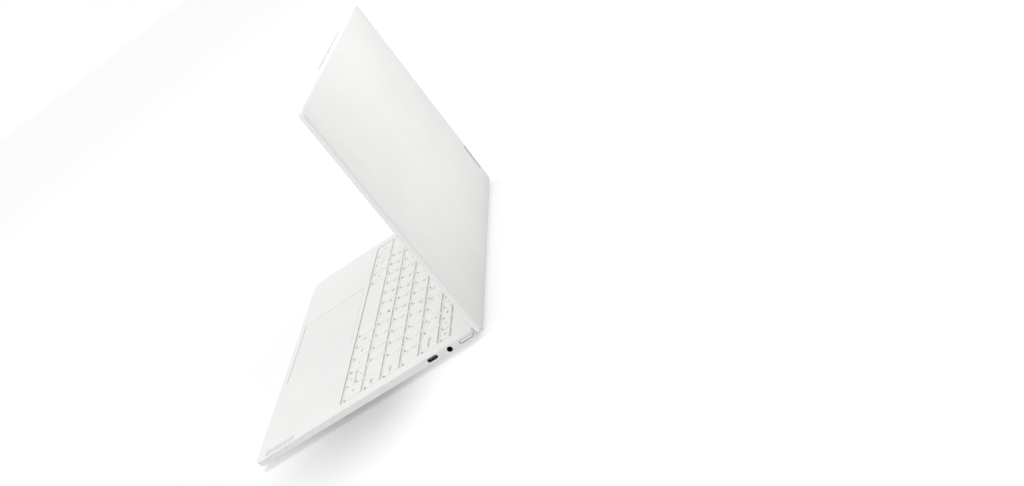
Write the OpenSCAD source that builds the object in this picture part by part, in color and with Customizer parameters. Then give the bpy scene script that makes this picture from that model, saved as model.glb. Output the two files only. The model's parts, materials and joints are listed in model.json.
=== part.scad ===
// Slim laptop computer, lid open at a right angle, standing on its rubber feet.
// X runs across, Y from the front edge to the rear, Z up. The origin is on the table,
// under the middle of the open computer. Units are millimetres.

/* [Base] */
// Width of the base and of the lid
base_w = 295.9; // [290:0.1:310]
// Depth of the base, front edge to rear wall
base_d = 204.3; // [202:0.1:212]
// Height of the deck over the table
deck_z = 9.4; // [9.2:0.1:10]
// Corner radius of the base in plan
corner_r = 5.5; // [4:0.5:7]
// Thickness of the deck plate
deck_t = 1.0; // [0.8:0.05:1.1]
// Thickness of the side walls of the deck
wall_t = 1.2; // [1:0.1:1.6]
// Thickness of the rear wall, which is rounded under the hinge line
rear_wall_t = 2.6; // [2.4:0.1:3]
// Height of the parting line at the front edge
rim_front_z = 5.0; // [4.4:0.1:5.4]
// Height of the parting line at the rear edge
rim_rear_z = 3.2; // [3:0.1:3.6]

/* [Underside] */
// Height of the rubber feet, which is the gap under the bottom cover
foot_h = 0.9; // [0.8:0.1:1.1]
// Wall thickness of the bottom cover
bottom_t = 0.8; // [0.7:0.1:0.9]
// Width of the sloping border of the bottom cover
bottom_inset = 9; // [8:0.5:10]
// Radius of the cover screws' heads
screw_head_r = 1.7; // [1.5:0.1:1.8]
// Radius of the cover screws' shafts
screw_r = 0.7; // [0.6:0.05:0.8]
// Distance of the rear foot strip's ends from the sides
foot_rear_side = 42.95; // [38:0.05:60]
// Length of each front foot
foot_front_l = 30; // [24:1:36]
// Width of the feet, front to rear
foot_w = 7; // [6:0.5:8]
// Distance of the outer cover screws from the sides
screw_side = 15.95; // [15:0.05:18]

/* [Lid] */
// Thickness of the lid
lid_t = 4.6; // [4.4:0.1:4.8]
// Gap between the closed lid and the deck
lid_gap = 0.3; // [0.3:0.05:0.5]
// How far the closed lid reaches behind the base
lid_overhang = 0.5; // [0.4:0.1:0.8]
// Corner radius of the lid
lid_corner_r = 6; // [5:0.5:8]
// Radius of the rounded edge round the outer face
lid_edge_r = 1.5; // [1.4:0.1:1.8]
// Width of the rim round the display side
lid_rim_w = 1.2; // [1:0.1:1.5]
// Thickness of the lid cover behind the display
lid_skin_t = 1.0; // [0.8:0.1:1.2]
// Length of the camera lip along the top edge
lip_l = 120; // [100:2:140]
// Height of the camera lip over the top edge
lip_h = 1.4; // [1:0.1:2]
// Length of the sloping ends of the lip
lip_run = 8; // [5:1:12]
// Thickness of the lip
lip_t = 2.6; // [2:0.1:3]

/* [Display] */
// Width of the border on both sides of the picture
border_side_w = 4.75; // [4.5:0.05:7]
// Height of the border over the picture
border_top_h = 12.8; // [12:0.1:18]
// Height of the border under the picture
chin_h = 13; // [12.5:0.5:15]
// Thickness of the display panel
panel_t = 2.4; // [2:0.1:2.5]
// Thickness of the bezel
bezel_t = 0.8; // [0.6:0.1:0.9]
// Width of the bezel's rubber seal
seal_w = 1.2; // [1:0.1:1.5]
// Radius of the camera's lens
lens_r = 1.6; // [1.2:0.1:1.8]

/* [Hinge] */
// How far the hinge axis lies under the deck and in front of the rear wall
hinge_drop = 2.95; // [2.9:0.01:3.05]
// How far the lid opens past the upright position, in degrees
hinge_past = 30; // [20:1:30]
// Distance of each hinge from the side
hinge_side = 35.95; // [32:0.05:40]
// Radius of the hinge pins
pin_r = 0.9; // [0.7:0.05:1]
// Width of the lid's knuckle
knuckle_w = 10; // [8:0.5:12]
// Thickness of each ear of the hinge bracket
ear_t = 2.6; // [2:0.1:3]
// Side clearance between the knuckle and the ears
knuckle_gap = 0.3; // [0.3:0.05:0.5]
// Running clearance between pin and knuckle
pin_fit = 0.05; // [0.02:0.01:0.08]

/* [Keyboard] */
// Distance of the key field from the sides
kb_side = 12.65; // [11.5:0.05:14]
// Distance of the key field from the front edge
kb_y = 81; // [80:0.5:83]
// Distance of the key field from the rear edge
kb_rear = 20.5; // [20.5:0.1:23]
// Width of the key field, in key pitches
kb_pitches = 14.432; // [14.3:0.001:14.6]
// Height of the bottom row, as a share of a main row
row_bottom_share = 1.106; // [1:0.001:1.15]
// Height of the function row, as a share of a main row
row_function_share = 0.637; // [0.6:0.001:0.7]
// Gap between two key caps
key_gap = 2.6; // [2.2:0.1:3]
// Key travel
key_travel = 1.2; // [1:0.05:1.25]
// Thickness of a key cap
cap_t = 1.5; // [1.4:0.05:1.6]
// How far the caps stand under the level of the deck
cap_sink = 0.05; // [0.05:0.05:0.15]
// Depth of the recess round the keys
well_depth = 0.75; // [0.7:0.05:0.9]
// Margin of the recess round the key field
well_margin = 1.2; // [1:0.1:1.5]
// Thickness of the web that holds the keys
web_t = 0.7; // [0.6:0.05:0.8]
// Side clearance round a key cap
key_fit = 0.35; // [0.3:0.05:0.5]
// Width of the key stems
stem_w = 4; // [3:0.5:4.5]
// Clearance of the stems in the keyboard plate
stem_fit = 0.3; // [0.25:0.05:0.4]
// Thickness of the keyboard plate
plate_t = 0.6; // [0.5:0.05:0.7]
// Slot of the first key of the number row, in key pitches
first_key_share = 0.901; // [0.88:0.001:0.95]
// Slot of the tab key, in key pitches
tab_share = 1.363; // [1.3:0.001:1.45]
// Slot of the caps lock key, in key pitches
caps_share = 1.776; // [1.7:0.001:1.85]
// Slot of the left shift key, in key pitches
shift_share = 2.235; // [2.2:0.001:2.35]
// Slot of the left control key, in key pitches
control_share = 1.2; // [1.1:0.01:1.3]
// Slot of each small modifier key, in key pitches
modifier_share = 0.992; // [0.95:0.001:1.02]
// Slot of the space bar, in key pitches
space_share = 5.045; // [4.9:0.005:5.1]
// Slot of each arrow key, in key pitches
arrow_share = 1.067; // [1:0.001:1.09]

/* [Touchpad] */
// Width of the touchpad
pad_w = 101; // [96:0.5:104]
// Depth of the touchpad
pad_d = 68.5; // [64:0.5:70]
// Distance of the touchpad from the front edge
pad_y = 6.5; // [6:0.5:7.5]
// Thickness of the touchpad
pad_t = 1.2; // [1:0.1:1.3]
// Gap round the touchpad
pad_gap = 0.3; // [0.25:0.05:0.4]
// How far the touchpad lies under the deck
pad_sink = 0.1; // [0.1:0.05:0.2]
// Travel of the front edge of the touchpad
pad_travel = 0.5; // [0.3:0.05:0.6]

/* [Ports] */
// Width of a USB-C socket
usb_w = 8.94; // [8.8:0.01:9]
// Height of a USB-C socket
usb_h = 3.26; // [3.1:0.01:3.3]
// Wall thickness of a USB-C socket
usb_t = 0.3; // [0.2:0.05:0.35]
// Height of the USB-C sockets over the table
usb_z = 6.7; // [6.65:0.01:6.75]
// Distance of the right socket from the rear edge
usb_right_rear = 38.1; // [35:0.1:42]
// Distance of the rear left socket from the rear edge
usb_left_rear = 23.2; // [22.5:0.1:26]
// Distance between the two left sockets
usb_left_pitch = 24.9; // [23:0.1:26]
// Distance of the status light from the rear edge
light_rear = 35.9; // [35:0.1:36.5]
// Radius of the status light
light_r = 0.55; // [0.4:0.05:0.7]
// Distance of the audio jack from the rear edge
jack_rear = 23.2; // [22.5:0.1:26]
// Height of the audio jack over the table
jack_z = 5.95; // [5.9:0.01:6]
// Bore radius of the audio jack
jack_bore_r = 1.8; // [1.75:0.01:1.85]
// Outer radius of the audio jack
jack_r = 2.2; // [2.1:0.05:2.3]
// Length of the sockets behind the wall
socket_l = 8; // [7.5:0.1:8.2]

/* [Power button] */
// Length of the power button
button_l = 11.6; // [10:0.1:12]
// Height of the power button
button_h = 2; // [1.8:0.1:2.4]
// Distance of the button's middle from the rear edge
button_rear = 8.3; // [8:0.1:11]
// Height of the button over the table
button_z = 6.2; // [5.9:0.05:6.3]
// Travel of the power button
button_travel = 0.4; // [0.3:0.05:0.5]
// Gap round the power button
button_gap = 0.5; // [0.4:0.05:0.6]

/* [Name plates] */
// Length of the bare plate on the palm rest
palm_plate_l = 28; // [24:1:32]
// Width of the bare plate on the palm rest
palm_plate_w = 7; // [6:0.5:8]
// Length of the bare plate on the lid
lid_plate_l = 26; // [22:1:30]
// Width of the bare plate on the lid
lid_plate_w = 6.5; // [5.5:0.5:7.5]
// Thickness of both plates
plate_mark_t = 0.4; // [0.3:0.05:0.5]

/* [Fans] */
// Distance of each fan's axis from the side
fan_side = 49.95; // [49:0.05:51]
// Distance of each fan's axis from the rear edge
fan_rear = 46.3; // [45.5:0.1:48]
// Radius of the fan rotors
rotor_r = 18.5; // [17:0.1:19]
// Radius of the rotor hubs
hub_r = 7; // [6:0.1:8]
// Number of blades
blade_count = 15; // [11:1:17]
// Thickness of a blade
blade_t = 0.6; // [0.5:0.05:0.8]
// Radius of the rotor shafts
shaft_r = 0.75; // [0.7:0.05:0.85]
// Height of the fan housings
fan_h = 2.8; // [2.6:0.05:2.85]

/* [Hidden] */

$fn = 48;
eps = 0.01;
cut = 1;                                     // how far a cutter runs past a face
white = "#eeeeec";
cap_white = "#f6f6f4";

// Heights in the base
deck_under = deck_z - deck_t;                // underside of the deck plate
inner_z = foot_h + bottom_t;                 // floor inside the bottom cover
cap_top = deck_z - cap_sink;
cap_low = cap_top - cap_t;
cap_corner_r = 3;                            // front corners of a key cap
opening_corner_r = 1.7;                      // front corners of its opening
web_top = deck_z - well_depth;
web_low = web_top - web_t;
plate_gap = 0.35;                            // a pressed key stops this far over the plate
plate_top = cap_low - key_travel - plate_gap;
plate_low = plate_top - plate_t;
stem_grip = 0.2;                             // how deep a stem reaches into the plate at rest
stem_low = plate_top - stem_grip;
board_gap = 0.4;                             // a pressed stem stops this far over the board
board_top = stem_low - key_travel - board_gap;
board_t = 0.8;
board_low = board_top - board_t;

// Key field
kb_w = base_w - 2 * kb_side;
kb_d = base_d - kb_y - kb_rear;
key_pitch = kb_w / kb_pitches;
main_rows = 4;
row_h = kb_d / (main_rows + row_bottom_share + row_function_share);
row_bottom_h = row_bottom_share * row_h;
function same(n, w) = [for (i = [1:n]) w];
kb_rows = concat([row_bottom_h], same(main_rows, row_h), [row_function_share * row_h]);
function total(v, n) = n <= 0 ? 0 : v[n - 1] + total(v, n - 1);
function row_y(r) = kb_y + total(kb_rows, r);
function with_rest(v) = concat(v, [kb_w - total(v, len(v))]);
half_row = (row_bottom_h - key_gap) / 2;     // height of an up or down key with its gap
function slots(shares) = [for (share = shares) share * key_pitch];
row_bottom_left = slots(concat([control_share], same(3, modifier_share), [space_share, modifier_share]));
arrow_keys = slots(same(3, arrow_share));
row_bottom_keys = concat(row_bottom_left,
    [kb_w - total(row_bottom_left, len(row_bottom_left)) - total(arrow_keys, 3)], arrow_keys);
row_shift_keys = with_rest(slots(concat([shift_share], same(10, 1))));
row_home_keys = with_rest(slots(concat([caps_share], same(11, 1))));
row_tab_keys = with_rest(slots(concat([tab_share], same(12, 1))));
row_number_keys = with_rest(slots(concat([first_key_share], same(12, 1))));
row_function_keys = same(16, kb_w / 16);
key_rows = [row_bottom_keys, row_shift_keys, row_home_keys, row_tab_keys, row_number_keys,
    row_function_keys];
arrow_first = 7;                             // the left arrow's place in the bottom row
function key_x(r, i) = -kb_w / 2 + total(key_rows[r], i) + key_rows[r][i] / 2;

well_w = kb_w + 2 * well_margin;
well_d = kb_d + 2 * well_margin;
well_y = kb_y - well_margin;
tray_margin = 2;                             // how far the keyboard plate reaches past the recess
space_index = 4;                             // the space bar's place in the bottom row
pad_x = key_x(0, space_index);               // the touchpad is centred on the space bar
pad_top = deck_z - pad_sink;
pad_low = pad_top - pad_t;
frame_t = 0.5;                               // sheet thickness of the touchpad frame
frame_gap = 0.4;                             // room between the frame and what lies over or under it
frame_top = pad_low - pad_travel - frame_gap;
frame_flange = 4;
frame_rear = 2.4;                            // how far the frame reaches behind the touchpad

// Hinge: the axis lies as far under the deck as in front of the rear wall, so the upright lid
// clears the rear wall by lid_gap, as the closed lid clears the deck.
hinge_x = base_w / 2 - hinge_side;
hinge_y = base_d - hinge_drop;
hinge_z = deck_z - hinge_drop;
ear_r = deck_under - hinge_z;
slot_gap = 0.4;
slot_w = knuckle_w + 2 * slot_gap;
bracket_w = knuckle_w + 2 * (knuckle_gap + ear_t);

// Lid, seen in its own frame: the axis is the origin, Y runs up the lid and the display faces +Z
lid_in = -(deck_z + lid_gap - hinge_z);      // plane of the rim on the display side
lid_out = lid_in - lid_t;                    // outer face
lid_low = -(hinge_drop + lid_overhang);
lid_high = hinge_y;                          // the closed lid ends flush with the front edge
lid_len = lid_high - lid_low;
lid_mid = (lid_high + lid_low) / 2;
pocket_floor = lid_out + lid_skin_t;
screen_w = base_w - 2 * border_side_w;
screen_h = lid_len - chin_h - border_top_h;
panel_top = pocket_floor + panel_t;
bezel_top = panel_top + bezel_t;
pocket_fit = 0.2;
screen_y = lid_low + chin_h;                 // lower edge of the picture
panel_border = 2.5;                          // how far the panel reaches under the picture
panel_margin = 1;                            // and past its other sides
lens_y = lid_high - 5.4;
camera_l = 16;
arm_half = 1.9;                              // half the thickness of the hinge arm
leaf_t = 0.8;
leaf_high = screen_y - panel_border - 0.3;
leaf_w = 26;
lid_plate_x = -base_w / 2 + 3;
lid_plate_y = 12.5;
mark_gap = 0.05;                             // joint round both name plates

origin_y = (hinge_y - lid_out) / 2;          // middle of the open computer, front to rear

// Places of the cover screws: shares of the outer ones' distance from the middle, and Y
screw_x = base_w / 2 - screw_side;
front_screws = [-1, -0.576, 0.576, 1];
rear_screws = [-1, -0.53, 0, 0.53, 1];
screws = [for (k = front_screws) [k * screw_x, bottom_inset + 3.5],
          for (k = rear_screws) [k * screw_x, base_d - rear_wall_t - 11.2]];
boss_r = 2.1;
bore_gap = 0.05;
head_t = 0.7;
screw_lift = 0.15;                           // the heads lie this far inside the cover's face
thread_end = deck_under - 2;                 // where the screw holes in the deck end
cover_boss_h = 1.6;                          // height of the cover's bosses over its underside

socket_recess = 0.3;
socket_x = base_w / 2 - socket_recess;       // mouths of the sockets
port_fit = 0.1;
usb_right_y = base_d - usb_right_rear;
usb_left_y = base_d - usb_left_rear - usb_left_pitch;
light_y = base_d - light_rear;
jack_y = base_d - jack_rear;
palm_plate_x = base_w / 2 - 2.5 - palm_plate_w;
palm_plate_y = 8.5;

// Power button: a stem at its back meets a switch on the mainboard at the end of its travel
button_y = base_d - button_rear;
button_face = base_w / 2 - 0.5;
button_back = button_face - wall_t - 0.6;
button_stem_r = 1;
button_stem_l = 3;
button_tip = button_back - button_stem_l;

fan_x = base_w / 2 - fan_side;
fan_y = base_d - fan_rear;
floor_gap = 0.1;                             // room between the cover's floor and what lies on it
fan_low = inner_z + floor_gap;
fan_skin = 0.4;
fan_cavity_r = rotor_r + 1.5;
fan_box = 2 * (fan_cavity_r + 1.5);
rotor_gap = 0.3;
rotor_low = fan_low + fan_skin + rotor_gap;
rotor_h = fan_h - 2 * (fan_skin + rotor_gap);

// Row of batteries and loudspeakers under the palm rest
cells_y = bottom_inset + 8;
cells_d = kb_y - cells_y - 6;
speaker_w = 35;
speaker_x = base_w / 2 - 13.95 - speaker_w;

// Mainboard between and beside the fans, with its cards at the front
board_y = kb_y + 15;
board_half = fan_x - fan_box / 2 - 6.5;
card_t = 0.8;                                // circuit board of a card
chip_t = 0.4;
card_w = 22;
card_margin = 4;
card_y = board_y + card_margin;
processor = 18;                              // side of the processor package
pipe_gap = 0.5;                              // and its height under the board

// Everything is drawn with Y from the front edge, then moved to the origin
module place() { translate([0, -origin_y, 0]) children(); }
// The open lid: its own frame turned upright about the hinge axis
module on_lid() { place() translate([0, hinge_y, hinge_z]) rotate([90, 0, 0]) children(); }
module both(x) { for (s = [-1, 1]) translate([s * x, 0, 0]) children(); }
module side(s) { if (s < 0) mirror([1, 0, 0]) children(); else children(); }

// Rectangle with round corners, from its lower left corner
module round_rect(w, d, r) {
    translate([r, 0]) square([w - 2 * r, d]);
    translate([0, r]) square([w, d - 2 * r]);
    for (x = [r, w - r], y = [r, d - r]) translate([x, y]) circle(r);
}
module round_slab(w, d, r, z0, z1) {
    translate([-w / 2, 0, z0]) linear_extrude(z1 - z0) round_rect(w, d, r);
}
module block(x0, x1, y0, y1, z0, z1) { translate([x0, y0, z0]) cube([x1 - x0, y1 - y0, z1 - z0]); }

// Side view of the base: the rear edge is round about the hinge axis and then leans forward,
// so the lid swings past it
module rear_profile() {
    far = 40;
    low = hinge_z + far;
    tip = [for (a = [-90:7.5:hinge_past]) [hinge_y + hinge_drop * cos(a), hinge_z - hinge_drop * sin(a)]];
    last = tip[len(tip) - 1];
    foot = [last[0] - low * sin(hinge_past), last[1] - low * cos(hinge_past)];
    rotate([90, 0, 90]) translate([0, 0, -base_w]) linear_extrude(2 * base_w)
        polygon(concat([[-far, deck_z]], tip, [foot, [-far, foot[1]]]));
}
module plan(inset, z0, z1) {
    translate([0, inset, 0])
        round_slab(base_w - 2 * inset, base_d - 2 * inset, max(corner_r - inset, 1), z0, z1);
}
// Everything under the parting plane, which falls from the front edge to the rear
module under_rim(lift = 0) {
    tilt = atan((rim_rear_z - rim_front_z) / base_d);
    translate([0, 0, rim_front_z + lift]) rotate([tilt, 0, 0])
        translate([-base_w, -base_d, -50]) cube([2 * base_w, 3 * base_d, 50]);
}

module key_outline(w, d, lower) {
    r = 1.5;                                 // upper corners
    q = min(lower, d / 3);                   // lower corners
    sag = min(0.45, d / 30);                 // the lower edge bows out
    arc = [0, 30, 60, 90];
    polygon(concat(
        [for (a = arc) [w / 2 - r + r * sin(90 - a), d / 2 - r + r * sin(a)]],
        [for (a = arc) [-w / 2 + r - r * sin(a), d / 2 - r + r * cos(a)]],
        [for (a = arc) [-w / 2 + q - q * cos(a), -d / 2 + sag + q - q * sin(a)]],
        [[0, -d / 2]],
        [for (a = arc) [w / 2 - q + q * sin(a), -d / 2 + sag + q - q * cos(a)]]));
}
// A key is row r, place i and part h, which is 0 for a whole key, 1 for the lower half of a
// slot and 2 for the upper half
module at_key(r, i, h = 0) {
    tall = kb_rows[r];
    d = h == 0 ? tall - key_gap : half_row - key_gap / 4;
    y = h == 0 ? tall / 2 : h == 1 ? (key_gap + d) / 2 : tall - (key_gap + d) / 2;
    translate([key_x(r, i), row_y(r) + y]) children();
}
function key_d(r, h) = h == 0 ? kb_rows[r] - key_gap : half_row - key_gap / 4;
function key_w(r, i) = key_rows[r][i] - key_gap;
module every_key() {
    for (r = [0:len(key_rows) - 1], i = [0:len(key_rows[r]) - 1])
        if (r > 0 || i != arrow_first + 1) key_shape(r, i, 0, opening_corner_r, key_fit);
        else for (h = [1, 2]) key_shape(r, i, h, opening_corner_r, key_fit);
}
module key_shape(r, i, h, lower, grow) {
    at_key(r, i, h) key_outline(key_w(r, i) + 2 * grow, key_d(r, h) + 2 * grow, lower);
}
module key(r, i, h = 0) {
    place() {
        translate([0, 0, cap_low]) linear_extrude(cap_t) key_shape(r, i, h, cap_corner_r, 0);
        translate([0, 0, stem_low]) linear_extrude(cap_low - stem_low + eps)
            at_key(r, i, h) square([stem_w, stem_d(r, h)], center = true);
    }
}
stem_edge = 1;                               // least distance from a stem to the edge of its cap
function stem_d(r, h) = min(stem_w, key_d(r, h) - 2 * stem_edge);
module keys(r, first, last) { color(cap_white) for (i = [first:last]) key(r, i); }
module one_key(r, i, h = 0) { color(cap_white) key(r, i, h); }
module stem_holes() {
    w = stem_w + 2 * stem_fit;
    for (r = [0:len(key_rows) - 1], i = [0:len(key_rows[r]) - 1]) {
        halves = (r > 0 || i != arrow_first + 1) ? [0] : [1, 2];
        for (h = halves) at_key(r, i, h) square([w, stem_d(r, h) + 2 * stem_fit], center = true);
    }
}

module usb_shape(grow) {
    r = usb_h / 2 + grow;
    square([usb_w - usb_h, 2 * r], center = true);
    for (s = [-1, 1]) translate([s * (usb_w - usb_h) / 2, 0]) circle(r);
}
// Turns a flat outline drawn across and up into a prism along X from x0 to x1
module along_x(x0, x1, y, z) {
    translate([x0, y, z]) rotate([90, 0, 90]) linear_extrude(x1 - x0) children();
}
module pill(l, h) {
    square([l - h, h], center = true);
    for (s = [-1, 1]) translate([s * (l - h) / 2, 0]) circle(h / 2);
}
module wall_openings() {
    deep = base_w / 2 - wall_t - cut;
    along_x(deep, base_w / 2 + cut, usb_right_y, usb_z) usb_shape(port_fit);
    for (k = [0, 1])
        along_x(-base_w / 2 - cut, -deep, usb_left_y + k * usb_left_pitch, usb_z) usb_shape(port_fit);
    along_x(-base_w / 2 - cut, -deep, light_y, usb_z) circle(light_r + bore_gap);
    along_x(deep, base_w / 2 + cut, jack_y, jack_z) circle(jack_r + port_fit);
    along_x(deep - 2 * wall_t, base_w / 2 + cut, button_y, button_z)
        pill(button_l + 2 * button_gap, button_h + 2 * button_gap);
}
// Room for the hinges in the deck, the rear wall and the bottom cover
module hinge_room() {
    both(hinge_x) {
        block(-slot_w / 2, slot_w / 2, hinge_y - ear_r - slot_gap, base_d + cut,
            rim_rear_z - cut, deck_z + cut);
        block(-bracket_w / 2 - slot_gap, bracket_w / 2 + slot_gap, hinge_y - 2 * ear_r - cut,
            hinge_y, hinge_z - ear_r - slot_gap, deck_under);
        along_x(-bracket_w / 2 - slot_gap, bracket_w / 2 + slot_gap, hinge_y, hinge_z)
            circle(ear_r + slot_gap);
    }
}

module keyboard_deck() {
    color(white) place() difference() {
        union() {
            difference() {
                intersection() {
                    plan(0, 0, deck_z);
                    rear_profile();
                }
                under_rim();
                // Hollow under the deck plate
                translate([0, wall_t, 0]) round_slab(base_w - 2 * wall_t,
                    base_d - wall_t - rear_wall_t, corner_r - wall_t, -cut, deck_under);
            }
            // Web that carries the key openings, and its border
            translate([0, well_y - wall_t, 0])
                round_slab(well_w + 2 * wall_t, well_d + 2 * wall_t, 2, web_low, deck_under + eps);
            // Bosses for the cover screws
            for (p = screws) translate([p[0], p[1], foot_h + cover_boss_h])
                cylinder(r = boss_r, h = deck_under - foot_h - cover_boss_h + eps);
        }
        translate([0, well_y, 0]) round_slab(well_w, well_d, 1.5, web_top, deck_z + cut);
        translate([0, 0, web_low - cut]) linear_extrude(web_t + 2 * cut) every_key();
        block(pad_x - pad_w / 2 - pad_gap, pad_x + pad_w / 2 + pad_gap, pad_y - pad_gap,
            pad_y + pad_d + pad_gap, deck_under - cut, deck_z + cut);
        block(palm_plate_x, palm_plate_x + palm_plate_w, palm_plate_y, palm_plate_y + palm_plate_l,
            deck_z - plate_mark_t, deck_z + cut);
        wall_openings();
        hinge_room();
        for (p = screws) translate([p[0], p[1], foot_h + cover_boss_h - cut])
            cylinder(r = screw_r + bore_gap, h = thread_end - foot_h - cover_boss_h + cut);
    }
}

// Dish between the parting plane and the flat underside, inset from the outer size
module dish(inset, floor_z, lift) {
    thin = 0.02;
    flat = bottom_inset + inset / 2;
    hull() {
        intersection() {
            plan(inset, 0, deck_z);
            under_rim(lift);
            translate([0, 0, thin]) difference() {
                translate([-base_w, -base_d, -cut]) cube([2 * base_w, 3 * base_d, deck_z]);
                under_rim(lift - 2 * thin);
            }
        }
        translate([0, flat, 0]) round_slab(base_w - 2 * flat, base_d - 2 * flat, corner_r,
            floor_z, floor_z + thin);
    }
}
module vent_slots() {
    vent_l = 22;
    vent_w = 1.4;
    both(fan_x) for (k = [-6:6])
        block(2 * k * vent_w - vent_w / 2, 2 * k * vent_w + vent_w / 2, fan_y - vent_l / 2,
            fan_y + vent_l / 2, 0, inner_z + cut);
}
module bottom_cover() {
    boss_wall = 1;
    hole_gap = 0.2;
    color(white) place() difference() {
        union() {
            intersection() {
                difference() {
                    dish(0, foot_h, 0);
                    dish(wall_t, inner_z, cut);
                }
                rear_profile();
                under_rim();
            }
            for (p = screws) translate([p[0], p[1], foot_h + eps])
                cylinder(r = boss_r + boss_wall, h = cover_boss_h - eps);
        }
        for (p = screws) translate([p[0], p[1], 0]) {
            cylinder(r = screw_head_r + hole_gap, h = foot_h + head_t + hole_gap);
            cylinder(r = screw_r + hole_gap, h = foot_h + cover_boss_h + cut);
        }
        hinge_room();
        vent_slots();
    }
}
module keyboard_plate() {
    w = well_w + 2 * tray_margin;
    d = well_d + 2 * tray_margin;
    y0 = well_y - tray_margin;
    tray_fit = 0.1;
    rim = tray_margin - wall_t - tray_fit;
    color("#b9bcbf") place() difference() {
        translate([0, y0, 0]) round_slab(w, d, 2, plate_low, deck_under);
        translate([0, y0 + rim, 0])
            round_slab(w - 2 * rim, d - 2 * rim, 2, plate_top, deck_under + cut);
        translate([0, 0, plate_low - cut]) linear_extrude(plate_t + 2 * cut) stem_holes();
    }
}

module touchpad() {
    post_r = 3;
    post_gap = 0.3;
    post_low = frame_top + post_gap + pad_travel;
    color("#e9e9e7") place() {
        block(pad_x - pad_w / 2, pad_x + pad_w / 2, pad_y, pad_y + pad_d, pad_low, pad_top);
        // Button post under the front edge
        translate([pad_x, pad_y + 2 * post_r, post_low])
            cylinder(r = post_r, h = pad_low - post_low + eps);
    }
}
module touchpad_frame() {
    x0 = pad_x - pad_w / 2;
    x1 = pad_x + pad_w / 2;
    y0 = pad_y + 1;
    y1 = pad_y + pad_d;
    edge = pad_gap + 0.1;
    rail_w = 1.5;
    rail_inset = 0.5;
    rail_gap = 0.3;
    color("#a9adb1") place() {
        block(x0 - frame_flange, x1 + frame_flange, y0, y1 + frame_rear, frame_top - frame_t, frame_top);
        for (x = [x0 - frame_flange, x1 + edge])
            block(x, x + frame_flange - edge, y0, y1 + frame_rear, frame_top - eps, deck_under);
        block(x0 - frame_flange, x1 + frame_flange, y1 + edge, y1 + frame_rear,
            frame_top - eps, deck_under);
        // Rail that the rear edge of the touchpad pivots on
        block(x0 + rail_w, x1 - rail_w, y1 - rail_inset - rail_w, y1 - rail_inset,
            frame_top - eps, pad_low - rail_gap);
    }
}

module battery() {
    cells = 4;
    gap = 1;
    pitch = 2 * (speaker_x - 5) / cells;
    strip_d = 2;                             // circuit strip behind the cells
    strip_drop = 1;
    z1 = frame_top - frame_t - frame_gap;
    color("#2d2f33") place() {
        for (i = [0:cells - 1]) {
            x = (i - (cells - 1) / 2) * pitch;
            block(x - (pitch - gap) / 2, x + (pitch - gap) / 2, cells_y, cells_y + cells_d, inner_z, z1);
        }
        block(-cells * pitch / 2, cells * pitch / 2, cells_y + cells_d - eps,
            cells_y + cells_d + strip_d, inner_z, z1 - strip_drop);
    }
}
module mainboard() {
    x = base_w / 2 - bottom_inset + 4;
    side_x = fan_x + fan_box / 2 + 1;
    side_y = board_y + 16;
    y1 = base_d - rear_wall_t - 15;
    chip = processor / 2;
    jack_room = 0.5;
    switch_w = 3;
    switch_l = 2.5;
    switch_x = button_tip - button_travel - floor_gap - switch_l;
    color("#1f5a3c") place() difference() {
        union() {
            block(-board_half, board_half, board_y, y1, board_low, board_top);
            block(-x, x, side_y, fan_y - fan_box / 2 - 1, board_low, board_top);
            both((x + side_x) / 2)
                block((side_x - x) / 2, (x - side_x) / 2, side_y, y1 - 1, board_low, board_top);
            block(-chip, chip, fan_y - chip, fan_y + chip, board_low - pipe_gap, board_low + eps);
            // Power switch on its tab
            block(switch_x - switch_l, x, jack_y, button_y + switch_w, board_low, board_top);
            block(switch_x, switch_x + switch_l, button_y - switch_w / 2, button_y + switch_w / 2,
                board_top - eps, button_z + button_stem_r);
        }
        block(x - socket_l - 2, x + cut, jack_y - jack_r - jack_room, jack_y + jack_r + jack_room,
            0, deck_z);
    }
}
module heat_pipe() {
    pipe_w = 7;
    pipe_t = 1.2;
    plate_half = processor / 2 + 5;
    fin_half = 18;
    fin_pitch = 1.5;
    fin_t = 0.4;
    y = fan_y + fan_box / 2 + 0.5;
    z0 = inner_z + 2 * floor_gap;
    z1 = board_low - pipe_gap;
    color("#b87333") place() {
        block(-plate_half, plate_half, fan_y - plate_half, fan_y + plate_half, z0, z1);
        block(-pipe_w / 2, pipe_w / 2, fan_y + plate_half - cut, y + pipe_w, z0, z1);
        block(-fan_x - fin_half, fan_x + fin_half, y, y + pipe_w, z0, z0 + pipe_t);
        both(fan_x) for (k = [-fin_half / fin_pitch:fin_half / fin_pitch])
            block(k * fin_pitch - fin_t / 2, k * fin_pitch + fin_t / 2, y, y + pipe_w,
                z0 + pipe_t - eps, fan_low + fan_h);
    }
}
module fan_housing(s) {
    a = fan_box / 2;
    outlet = 0.8 * a;
    inlet_r = 0.65 * rotor_r;
    color("#3a3c40") place() translate([s * fan_x, fan_y, 0]) difference() {
        block(-a, a, -a, a, fan_low, fan_low + fan_h);
        translate([0, 0, fan_low + fan_skin]) cylinder(r = fan_cavity_r, h = fan_h - 2 * fan_skin);
        // Outlet at the rear, inlet in the upper plate, bearing in the lower one
        block(-outlet, outlet, 0, a + cut, fan_low + fan_skin, fan_low + fan_h - fan_skin);
        translate([0, 0, fan_low + fan_h / 2]) cylinder(r = inlet_r, h = fan_h);
        translate([0, 0, fan_low - cut]) cylinder(r = shaft_r + bore_gap, h = fan_skin + 2 * cut);
    }
}
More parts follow.
